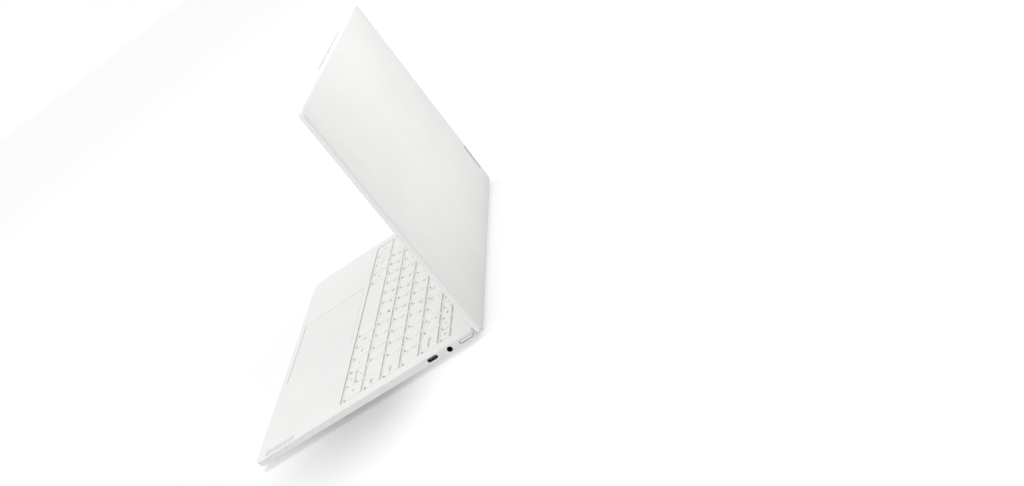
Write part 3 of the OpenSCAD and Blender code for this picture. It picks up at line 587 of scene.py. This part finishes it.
class Shell:
    """Vertices and faces of one piece, gathered as whole arrays."""

    def __init__(self) -> None:
        """Starts empty."""
        self.points: List[np.ndarray] = []
        self.faces: List[Sequence[int]] = []
        self.slots: List[int] = []
        self.count = 0

    def add(self, points: np.ndarray, faces: np.ndarray, slot: int = 0) -> None:
        """Adds a patch.

        Args:
            points: (n, 3) places in millimetres.
            faces: (m, 3) or (m, 4) indices into points.
            slot: Material slot of the patch.
        """
        self.points.append(points)
        self.faces.extend((faces + self.count).tolist())
        self.slots.extend([slot] * len(faces))
        self.count += len(points)

    def loft(self, rings: np.ndarray, slot: int = 0) -> None:
        """Skins closed rings, with a fan over the first and the last.

        The surface has two parameters: the ring, and the place round it. Rings run
        anticlockwise seen from the side that the last one faces.

        Args:
            rings: (r, n, 3) places in millimetres.
            slot: Material slot.
        """
        r, n, _ = rings.shape
        i, j = np.meshgrid(np.arange(r - 1), np.arange(n), indexing="ij")
        k = (j + 1) % n
        quads = np.stack([i * n + j, i * n + k, (i + 1) * n + k, (i + 1) * n + j], -1)
        self.add(rings.reshape(-1, 3), quads.reshape(-1, 4), slot)
        here = np.arange(n)
        there = (here + 1) % n
        hub = np.full(n, n)
        for ring, a, b in ((rings[0], there, here), (rings[-1], here, there)):
            self.add(np.vstack([ring, ring.mean(0)]), np.stack([a, b, hub], -1), slot)

    def piece(
        self, name: str, body: str, materials: Sequence[bpy.types.Material]
    ) -> bpy.types.Object:
        """Makes the object, at the origin, riding on its body.

        Args:
            name: Name of the piece.
            body: CAD body that carries it.
            materials: Materials by slot.

        Returns:
            The object.
        """
        mesh = bpy.data.meshes.new(name)
        mesh.from_pydata((np.vstack(self.points) * MM).tolist(), [], self.faces)
        for material in materials:
            mesh.materials.append(material)
        mesh.polygons.foreach_set("material_index", np.array(self.slots, np.int32))
        work = bmesh.new()
        work.from_mesh(mesh)
        bmesh.ops.remove_doubles(work, verts=work.verts, dist=1e-7)
        work.to_mesh(mesh)
        work.free()
        mesh.polygons.foreach_set("use_smooth", np.ones(len(mesh.polygons), bool))
        mesh.set_sharp_from_angle(angle=SHARP)
        made = bpy.data.objects.new(name, mesh)
        bpy.context.scene.collection.objects.link(made)
        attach(made, body)
        return made


@dataclass(frozen=True)
class Outline:
    """Closed anticlockwise outline with the outward normal at each place."""

    points: np.ndarray
    normals: np.ndarray

    @staticmethod
    def key(width: float, depth: float, upper: float = 1.5, lower: float = 3.0,
            sag: float = 0.45, steps: int = 7) -> "Outline":
        """Key cap outline: four corner arcs, and a lower edge that bows out.

        A corner is centre + r (cos a, sin a). The lower edge is sag |u|^1.3 high at the
        share u of its half length, so it is sag deep at its ends and nothing in the middle.

        Args:
            width: Width in millimetres.
            depth: Depth, front to rear.
            upper: Radius of the rear corners.
            lower: Radius of the front corners.
            sag: Bow of the front edge.
            steps: Places on each arc and on the lower edge.

        Returns:
            The outline about (0, 0).
        """
        lower, sag = min(lower, depth / 3), min(sag, depth / 30)
        w, d = width / 2, depth / 2
        corners = (
            (w - lower, lower + sag - d, lower, -90), (w - upper, d - upper, upper, 0),
            (upper - w, d - upper, upper, 90), (lower - w, lower + sag - d, lower, 180),
        )
        turn = np.radians(np.linspace(0, 90, steps))
        points, normals = [], []
        for cx, cy, r, start in corners:
            a = turn + math.radians(start)
            ray = np.stack([np.cos(a), np.sin(a)], -1)
            points.append(np.array([cx, cy]) + r * ray)
            normals.append(ray)
        u = np.linspace(-1, 1, steps + 2)[1:-1]
        points.append(np.stack([u * (w - lower), sag * np.abs(u)**1.3 - d], -1))
        normals.append(np.tile([0.0, -1.0], (steps, 1)))
        return Outline(np.vstack(points), np.vstack(normals))

    def inset(self, amount: Union[float, np.ndarray]) -> np.ndarray:
        """Places moved inwards by amount, the same all round or one for each place."""
        return self.points - amount * self.normals


def ring_at(outline: np.ndarray, centre: Tuple[float, float], z: float) -> np.ndarray:
    """(n, 3) ring of a flat outline moved to centre, at height z."""
    return np.column_stack([outline + np.array(centre), np.broadcast_to(z, len(outline))])


class Lettering:
    """Turns short generic words and figures into flat triangles, once each."""

    def __init__(self) -> None:
        """Starts with nothing set."""
        self.known: Dict[str, Tuple[np.ndarray, np.ndarray]] = {}

    def get(self, text: str) -> Tuple[np.ndarray, np.ndarray]:
        """Outline of text one unit high.

        Args:
            text: What is printed.

        Returns:
            (n, 2) places about the middle of the word, and (m, 3) triangles.
        """
        if text not in self.known:
            curve = bpy.data.curves.new("word", "FONT")
            curve.body = text
            curve.resolution_u = 3
            curve.offset = 0.012
            word = bpy.data.objects.new("word", curve)
            bpy.context.scene.collection.objects.link(word)
            bpy.context.view_layer.update()
            mesh = bpy.data.meshes.new_from_object(word)
            mesh.calc_loop_triangles()
            points = np.zeros(len(mesh.vertices) * 3)
            mesh.vertices.foreach_get("co", points)
            corners = np.zeros(len(mesh.loop_triangles) * 3, np.int32)
            mesh.loop_triangles.foreach_get("vertices", corners)
            flat = points.reshape(-1, 3)[:, :2]
            self.known[text] = (flat - (flat.min(0) + flat.max(0)) / 2, corners.reshape(-1, 3))
            bpy.data.objects.remove(word)
            bpy.data.meshes.remove(mesh)
            bpy.data.curves.remove(curve)
        return self.known[text]


# --------------------------------------------------------------- sub-assemblies

class Edge(Enum):
    """How strongly a copied CAD solid has its edges broken, in millimetres."""

    FINE = 0.06
    SOFT = 0.18


class Dresser:
    """Gives CAD solids their finish, either on the node itself or on a merged and bevelled copy."""

    def __init__(self, finishes: Finishes) -> None:
        """Keeps the finishes."""
        self.finishes = finishes

    def paint(self, node: str, slot: str) -> None:
        """Assigns a finish to a CAD node that stays as it is."""
        for place in frame["nodes"][node].material_slots:
            place.material = self.finishes.get(slot)
        log.info("painted %s with %s", node, slot)

    def copy(self, node: str, slot: str, edge: Edge) -> bpy.types.Object:
        """Replaces a CAD node by a merged copy with broken edges.

        Args:
            node: CAD node.
            slot: Finish.
            edge: Size of the broken edges.

        Returns:
            The piece.
        """
        source = frame["nodes"][node]
        mesh = source.data.copy()
        mesh.name = node + "_dressed"
        work = bmesh.new()
        work.from_mesh(mesh)
        bmesh.ops.remove_doubles(work, verts=work.verts, dist=MERGE)
        bmesh.ops.dissolve_limit(
            work, angle_limit=FLAT, verts=work.verts, edges=work.edges,
            use_dissolve_boundaries=False,
        )
        work.to_mesh(mesh)
        work.free()
        if mesh.has_custom_normals:
            mesh.attributes.remove(mesh.attributes["custom_normal"])
        mesh.materials.clear()
        mesh.materials.append(self.finishes.get(slot))
        mesh.polygons.foreach_set("use_smooth", np.ones(len(mesh.polygons), bool))
        mesh.set_sharp_from_angle(angle=SHARP)
        made = bpy.data.objects.new(mesh.name, mesh)
        bpy.context.scene.collection.objects.link(made)
        bevel = made.modifiers.new("broken_edges", "BEVEL")
        bevel.width = edge.value * MM
        bevel.segments = 2
        bevel.limit_method = "ANGLE"
        bevel.angle_limit = SHARP
        bevel.use_clamp_overlap = True
        bevel.miter_outer = "MITER_SHARP"
        bevel.harden_normals = True
        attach(made, source["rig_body"])
        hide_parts(node)
        log.info("dressed %s as %s", node, made.name)
        return made


@dataclass
class Key:
    """One key: its place and size in millimetres, and what is printed on it."""

    x: float
    y: float
    w: float
    d: float
    print: str = ""
    above: str = ""


@dataclass(frozen=True)
class Print:
    """Heights of what is printed on the keys, and its places on a cap, in millimetres."""

    letter: float = 4.8
    lower: float = 4.0
    upper: float = 3.8
    word: float = 3.5
    bottom_word: float = 3.2
    function: float = 2.6
    arrow: float = 2.2
    side: float = 2.0           # from the left edge to the print
    drop: float = 4.4           # from the front or rear edge to the middle of a character
    upper_drop: float = 3.8     # the same, for the upper of two characters
    word_rise: float = 7.0      # from the front edge to the middle of a word
    ink: float = 0.012          # height of the print over the cap


@dataclass
class Keyboard:
    """All the key caps: rounded edges, slightly dished tops, stems and grey print."""

    finishes: Finishes
    width: float = 270.6
    front: float = 81.0 - ORIGIN_Y
    depth: float = 102.8
    pitches: float = 14.432
    bottom_share: float = 1.106
    function_share: float = 0.637
    gap: float = 2.6
    top: float = 9.35
    low: float = 7.85
    stem_low: float = 6.1
    stem: float = 4.0
    edge: float = 0.3
    dish: float = 0.12
    skirt: float = 0.27
    skirt_top: float = 8.56
    lean: float = 0.22
    flat_cap: float = 10.0
    wide_cap: float = 24.0
    bottom_row: float = 18.0
    prints: Print = Print()
    letters: Lettering = field(default_factory=Lettering)

    def rows(self) -> List[Tuple[float, float]]:
        """Front edge and height of each row, from the space bar's row to the function row."""
        main = self.depth / (4 + self.bottom_share + self.function_share)
        heights = [self.bottom_share * main] + [main] * 4 + [self.function_share * main]
        fronts = self.front + np.concatenate([[0.0], np.cumsum(heights)[:-1]])
        return list(zip(fronts.tolist(), heights))

    def line(self, row: int, shares: Sequence[float], words: Sequence[str],
             above: Sequence[str] = ()) -> List[Key]:
        """Keys of one row; the last one takes what is left of the width.

        Args:
            row: Row number from the front.
            shares: Widths of all keys but the last, in key pitches.
            words: What is printed on each key.
            above: Second character over the first.

        Returns:
            The keys from left to right.
        """
        pitch = self.width / self.pitches
        widths = np.array(list(shares)) * pitch
        widths = np.append(widths, self.width - widths.sum())
        middles = np.cumsum(widths) - widths / 2 - self.width / 2
        y0, height = self.rows()[row]
        second = list(above) + [""] * (len(words) - len(above))
        return [
            Key(x, y0 + height / 2, w - self.gap, height - self.gap, word, upper)
            for x, w, word, upper in zip(middles.tolist(), widths.tolist(), words, second)
        ]

    def nodes(self) -> Dict[str, List[Key]]:
        """The keys that each CAD node stands for."""
        function = self.line(5, [self.pitches / 16] * 15,
                             ["Esc"] + [f"F{n}" for n in range(1, 13)] + ["PrtSc", "Ins", "Del"])
        number = self.line(4, [0.901] + [1.0] * 12, list("`1234567890-=") + ["Backspace"],
                           list("~!@#$%^&*()_+"))
        upper = self.line(3, [1.363] + [1.0] * 12, ["Tab"] + list("QWERTYUIOP[]\\"),
                          [""] * 11 + list("{}|"))
        home = self.line(2, [1.776] + [1.0] * 11, ["Caps Lock"] + list("ASDFGHJKL;'") + ["Enter"],
                         [""] * 10 + list(":\""))
        lower = self.line(1, [2.235] + [1.0] * 10, ["Shift"] + list("ZXCVBNM,./") + ["Shift"],
                          [""] * 8 + list("<>?"))
        left = [1.2, 0.992, 0.992, 0.992, 5.045, 0.992]
        right = self.pitches - sum(left) - 3 * 1.067
        bottom = self.line(0, left + [right, 1.067, 1.067],
                           ["Ctrl", "Fn", "", "Alt", "", "Alt", "Ctrl", "<", "", ">"])
        whole = bottom[8]
        half = (whole.d + self.gap) / 2 - self.gap / 2 - self.gap / 4
        offset = (whole.d - half) / 2
        return {
            "keys_function_row": function,
            "keys_number_row": number[:13],
            "key_backspace": number[13:],
            "key_tab": upper[:1],
            "keys_upper_letters": upper[1:],
            "key_caps_lock": home[:1],
            "keys_home_letters": home[1:12],
            "key_enter": home[12:],
            "key_shift_left": lower[:1],
            "keys_lower_letters": lower[1:11],
            "key_shift_right": lower[11:],
            "key_control_left": bottom[:1],
            "key_function": bottom[1:2],
            "key_bare": bottom[2:3],
            "key_alt_left": bottom[3:4],
            "key_space": bottom[4:5],
            "key_alt_right": bottom[5:6],
            "key_control_right": bottom[6:7],
            "key_arrow_left": bottom[7:8],
            "key_arrow_up": [Key(whole.x, whole.y + offset, whole.w, half, "^")],
            "key_arrow_down": [Key(whole.x, whole.y - offset, whole.w, half, "v")],
            "key_arrow_right": bottom[9:],
        }

    def cap(self, shell: Shell, key: Key) -> None:
        """Adds one cap.

        The foot stands out as a skirt that fills most of the opening in the deck, less
        4 nx^2 ny^2 of it at the front corners. The side leans in by lean from there. The edge
        is a quarter round, z = top - r (1 - sin a) at inset lean + r (1 - cos a), and the top
        sinks by dish (1 - s^2) at the share s of its outline.

        Args:
            shell: Where the cap goes.
            key: The key.
        """
        outline = Outline.key(key.w, key.d)
        centre = (key.x, key.y)
        nx, ny = outline.normals.T
        spread = (self.skirt * (1 - 4 * nx**2 * ny**2 * (ny < 0)))[:, None]
        rings = [ring_at(outline.inset(-spread), centre, self.low)]
        rings.append(ring_at(outline.inset(-spread), centre, self.skirt_top))
        for a in np.radians([0, 22.5, 45, 67.5, 90]):
            rings.append(ring_at(outline.inset(self.lean + self.edge * (1 - math.cos(a))), centre,
                                 self.top - self.edge * (1 - math.sin(a))))
        flat = outline.inset(self.lean + self.edge)
        for s in (0.85, 0.6, 0.3):
            rings.append(ring_at(flat * s, centre, self.top - self.dish * (1 - s * s)))
        shell.loft(np.stack(rings))
        half = np.array([self.stem, min(self.stem, key.d - 2)]) / 2
        square = np.array([[-1, -1], [1, -1], [1, 1], [-1, 1]]) * half
        ends = (self.stem_low, self.low + 0.05)
        shell.loft(np.stack([ring_at(square, centre, z) for z in ends]))

    def height(self, points: np.ndarray, key: Key) -> np.ndarray:
        """Height of the dished top under flat places on a key.

        The share s of a place is the larger of |x| and |y| over half the size of the top.
        """
        half = np.array([key.w, key.d]) / 2 - self.edge - self.lean
        share = np.abs(points / half).max(1)
        return self.top - self.dish * (1 - np.minimum(share, 1) ** 2)

    def stamp(self, shell: Shell, key: Key, text: str, size: float, at: Tuple[float, float],
              anchor: str = "left") -> None:
        """Prints text on a key.

        Args:
            shell: Where the print goes, in material slot 1.
            key: The key.
            text: What is printed, or one of < > ^ v for an arrow.
            size: Height of the letters.
            at: Place of the text's middle, or of its left end, from the key's middle.
            anchor: "left", "middle", "right" or "arrow".
        """
        if anchor == "arrow":
            a = np.radians(np.array([0, 120, 240]) + ARROWS[text])
            points, faces = np.stack([np.cos(a), np.sin(a)], -1) * size / 2, np.array([[0, 1, 2]])
        else:
            points, faces = self.letters.get(text)
            points = points * size
            shift = {"left": 0.5, "middle": 0.0, "right": -0.5}[anchor]
            points = points + np.array([shift * np.ptp(points[:, 0]), 0])
        points = points + np.array(at)
        z = self.height(points, key) + self.prints.ink
        place = np.column_stack([points + np.array([key.x, key.y]), z])
        shell.add(place, faces, 1)

    def print_key(self, shell: Shell, key: Key) -> None:
        """Prints a key's legend: one letter in the upper left, a word in the lower left."""
        if not key.print:
            return
        size = self.prints
        left, front, rear = -key.w / 2 + size.side, -key.d / 2, key.d / 2
        if key.print in ARROWS:
            self.stamp(shell, key, key.print, size.arrow, (0.0, 0.0), "arrow")
        elif key.d < self.flat_cap:
            self.stamp(shell, key, key.print, size.function, (0.0, 0.0), "middle")
        elif len(key.print) > 1 and key.w < self.wide_cap and key.y < self.front + self.bottom_row:
            self.stamp(shell, key, key.print, size.bottom_word, (0.0, 0.0), "middle")
        elif len(key.print) > 1:
            side = "right" if key.x > 0 else "left"
            at = -left if key.x > 0 else left
            self.stamp(shell, key, key.print, size.word, (at, front + size.word_rise), side)
        elif key.above:
            self.stamp(shell, key, key.above, size.upper, (left, rear - size.upper_drop))
            self.stamp(shell, key, key.print, size.lower, (left, front + size.drop))
        else:
            self.stamp(shell, key, key.print, size.letter, (left, rear - size.drop))

    def build(self) -> None:
        """Makes one piece for each key node."""
        materials = [self.finishes.get("key_white"), self.finishes.get("legend")]
        for node, keys in self.nodes().items():
            shell = Shell()
            for key in keys:
                self.cap(shell, key)
                self.print_key(shell, key)
            made = shell.piece(node + "_caps", node, materials)
            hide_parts(node)
            log.info("made %s with %d keys", made.name, len(keys))


@dataclass
class Assembly:
    """CAD pieces that are replaced by dressed copies, each with its finish and its edges."""

    dresser: Dresser
    parts: Tuple[Tuple[str, str, Edge], ...] = ()

    def build(self) -> None:
        """Dresses every part in turn."""
        for node, slot, edge in self.parts:
            self.dresser.copy(node, slot, edge)


@dataclass
class Casework(Assembly):
    """The white shells, the touchpad and what is let into them."""

    parts: Tuple[Tuple[str, str, Edge], ...] = (
        ("lid_cover", "lid", Edge.SOFT),
        ("keyboard_deck", "deck", Edge.SOFT),
        ("bottom_cover", "white_shell", Edge.SOFT),
        ("touchpad", "pad_white", Edge.FINE),
        ("lid_name_plate", "plate_satin", Edge.FINE),
        ("palm_name_plate", "plate_satin", Edge.FINE),
        ("feet", "foot_rubber", Edge.SOFT),
        ("bottom_screws", "screw_steel", Edge.FINE),
        ("power_button", "button_white", Edge.FINE),
        ("status_light", "light_pipe", Edge.FINE),
        ("usb_c_socket_right", "port_metal", Edge.FINE),
        ("usb_c_sockets_left", "port_metal", Edge.FINE),
        ("audio_jack", "jack_black", Edge.FINE),
    )


@dataclass
class Display(Assembly):
    """Screen, bezel, seal and camera on the inner side of the lid, and the hinges."""

    parts: Tuple[Tuple[str, str, Edge], ...] = (
        ("display_bezel", "bezel_black", Edge.FINE),
        ("display_panel", "screen_black", Edge.FINE),
        ("bezel_seal", "seal_rubber", Edge.FINE),
        ("camera_lens", "lens_glass", Edge.FINE),
        ("hinge_leaf_left", "hinge_steel", Edge.FINE),
        ("hinge_leaf_right", "hinge_steel", Edge.FINE),
        ("hinge_pin_left", "pin_steel", Edge.FINE),
        ("hinge_pin_right", "pin_steel", Edge.FINE),
        ("hinge_bracket_left", "hinge_steel", Edge.FINE),
        ("hinge_bracket_right", "hinge_steel", Edge.FINE),
    )


@dataclass
class Inside:
    """What lies in the base, on the CAD nodes themselves."""

    dresser: Dresser
    paint: Tuple[Tuple[str, str], ...] = (
        ("camera_module", "fan_black"),
        ("keyboard_plate", "plate_metal"),
        ("touchpad_frame", "plate_metal"),
        ("battery", "battery_black"),
        ("mainboard", "board_green"),
        ("heat_pipe", "pipe_copper"),
        ("fan_housing_left", "fan_black"),
        ("fan_housing_right", "fan_black"),
        ("fan_rotor_left", "fan_black"),
        ("fan_rotor_right", "fan_black"),
        ("solid_state_drive", "board_green"),
        ("wireless_card", "card_blue"),
        ("speaker_left", "speaker"),
        ("speaker_right", "speaker"),
    )

    def build(self) -> None:
        """Paints every node in turn."""
        for node, slot in self.paint:
            self.dresser.paint(node, slot)


# ----------------------------------------------------------------------- stage

@dataclass(frozen=True)
class Lamp:
    """A square soft lamp: its place and the point that it faces in metres, its side and watts."""

    name: str
    place: Vec
    aim: Vec
    size: float
    power: float


@dataclass
class Studio:
    """Camera, pale floor, white surround and soft lamps. Places on the floor are in millimetres."""

    lens: float = 39.79
    eye: Vec = (0.8541, 0.3531, 0.3227)
    right: Vec = (0.0015, 0.8177, -0.5756)
    up: Vec = (-0.4270, 0.5210, 0.7390)
    back: Vec = (0.9043, 0.2447, 0.3499)
    sky: float = 0.28
    floor_tone: float = 0.68
    seen_tone: float = 0.42
    near: float = 260.0
    far: float = 700.0
    near_glow: float = 0.59
    far_glow: float = 0.85
    shade_depth: float = 0.5
    shade_x: Tuple[float, float, float] = (60.0, 100.0, 270.0)
    shade_y: Tuple[float, float, float, float] = (-112.0, -9.0, 4.0, 82.0)
    half_floor: float = 12.0
    lamps: Tuple[Lamp, ...] = (
        Lamp("overhead", (-0.2, -0.3, 1.9), (0.0, 0.0, 0.05), 1.5, 25.8),
        Lamp("behind", (-0.05, 0.43, 0.32), (0.0, 0.1, 0.14), 0.35, 1.15),
        Lamp("fill", (1.2, -0.2, 0.3), (0.0, 0.0, 0.1), 0.8, 7.0),
    )

    def camera(self) -> None:
        """Sets the camera from its place and its three axes."""
        data = bpy.data.cameras.new("camera")
        data.lens = self.lens
        data.sensor_width = 36.0
        data.sensor_fit = "HORIZONTAL"
        data.clip_start, data.clip_end = 0.01, 100.0
        made = bpy.data.objects.new("camera", data)
        axes = np.array([self.right, self.up, self.back]).T
        pose = np.eye(4)
        pose[:3, :3] = axes
        pose[:3, 3] = self.eye
        made.matrix_world = Matrix(pose.tolist())
        bpy.context.scene.collection.objects.link(made)
        bpy.context.scene.camera = made

    def surround(self) -> None:
        """White where the camera and glossy surfaces look, and a plain soft light elsewhere."""
        world = bpy.data.worlds.new("surround")
        bpy.context.scene.world = world
        world.use_nodes = True
        tree = world.node_tree
        tree.nodes.clear()
        rays = tree.nodes.new("ShaderNodeLightPath")
        seen = tree.nodes.new("ShaderNodeMath")
        seen.operation = "MAXIMUM"
        tree.links.new(rays.outputs["Is Camera Ray"], seen.inputs[0])
        shine = tree.nodes.new("ShaderNodeMath")
        shine.operation = "MAXIMUM"
        tree.links.new(rays.outputs["Is Glossy Ray"], shine.inputs[0])
        tree.links.new(rays.outputs["Is Transmission Ray"], shine.inputs[1])
        tree.links.new(shine.outputs[0], seen.inputs[1])
        lit, white = (tree.nodes.new("ShaderNodeBackground") for _ in range(2))
        lit.inputs["Color"].default_value = (1.0, 1.0, 1.0, 1.0)
        lit.inputs["Strength"].default_value = self.sky
        white.inputs["Color"].default_value = (1.0, 1.0, 1.0, 1.0)
        white.inputs["Strength"].default_value = 1.0
        both = tree.nodes.new("ShaderNodeMixShader")
        tree.links.new(seen.outputs[0], both.inputs[0])
        tree.links.new(lit.outputs[0], both.inputs[1])
        tree.links.new(white.outputs[0], both.inputs[2])
        out = tree.nodes.new("ShaderNodeOutputWorld")
        tree.links.new(both.outputs[0], out.inputs["Surface"])

    def floor(self) -> None:
        """Pale floor at the height of the feet, with a soft shade beside the right wall.

        The shade rises and falls across the floor between the places in shade_x, and along it
        between those in shade_y. The camera alone sees the shade, and the glow that makes the
        far floor nearly as white as the surround.
        """
        mesh = bpy.data.meshes.new("floor")
        s = self.half_floor
        mesh.from_pydata([(-s, -s, 0), (s, -s, 0), (s, s, 0), (-s, s, 0)], [], [(0, 1, 2, 3)])
        recipe = Recipe("floor_white")
        tone = self.floor_tone
        rays = recipe.node("ShaderNodeLightPath", {}, {})
        x, y, _ = recipe.axes()
        distance = recipe.math("SQRT", x * x + y * y)
        seen = Field(recipe, rays.outputs["Is Camera Ray"])
        x_start, x_deep, x_end = self.shade_x
        y_start, y_deep, y_fall, y_end = self.shade_y
        shade = x.rise(x_start, x_deep) * x.rise(x_deep, x_end, 1.0, 0.0)
        shade = shade * y.rise(y_start, y_deep) * y.rise(y_fall, y_end, 1.0, 0.0)
        shade = 1 - self.shade_depth * shade
        glow = distance.rise(self.near, self.far, self.near_glow, self.far_glow)
        mesh.materials.append(recipe.finish(
            Base_Color=recipe.mix(
                seen, (tone,) * 3, recipe.mix(shade, (0.0,) * 3, (self.seen_tone,) * 3)
            ),
            Roughness=0.9,
            Specular_IOR_Level=0.0,
            Emission_Color=seen * shade * glow,
            Emission_Strength=1.0,
        ))
        made = bpy.data.objects.new("floor", mesh)
        bpy.context.scene.collection.objects.link(made)

    def hang(self, lamp: Lamp) -> None:
        """Adds a lamp, turned to the point that it faces."""
        data = bpy.data.lights.new(lamp.name, "AREA")
        data.shape = "SQUARE"
        data.size = lamp.size
        data.energy = lamp.power
        made = bpy.data.objects.new(lamp.name, data)
        back = np.array(lamp.place) - np.array(lamp.aim)
        back = back / np.linalg.norm(back)
        side = np.cross([0.0, 0.0, 1.0], back)
        side = side / np.linalg.norm(side)
        pose = np.eye(4)
        pose[:3, :3] = np.array([side, np.cross(back, side), back]).T
        pose[:3, 3] = lamp.place
        made.matrix_world = Matrix(pose.tolist())
        made.visible_camera = False
        bpy.context.scene.collection.objects.link(made)

    def build(self) -> None:
        """Sets up the whole stage."""
        self.camera()
        self.surround()
        self.floor()
        for lamp in self.lamps:
            self.hang(lamp)
        bpy.context.scene.view_settings.view_transform = "Standard"
        log.info("stage set")


def write_size() -> None:
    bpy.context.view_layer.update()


def main() -> None:
    """Builds the laptop's sub-assemblies in order and reports each piece."""
    logging.basicConfig(level=logging.INFO, format="%(name)s: %(message)s")
    finishes = Finishes()
    dresser = Dresser(finishes)
    Casework(dresser).build()
    Display(dresser).build()
    Inside(dresser).build()
    Keyboard(finishes).build()
    Studio().build()
    write_size()


if __name__ == "__main__":
    main()
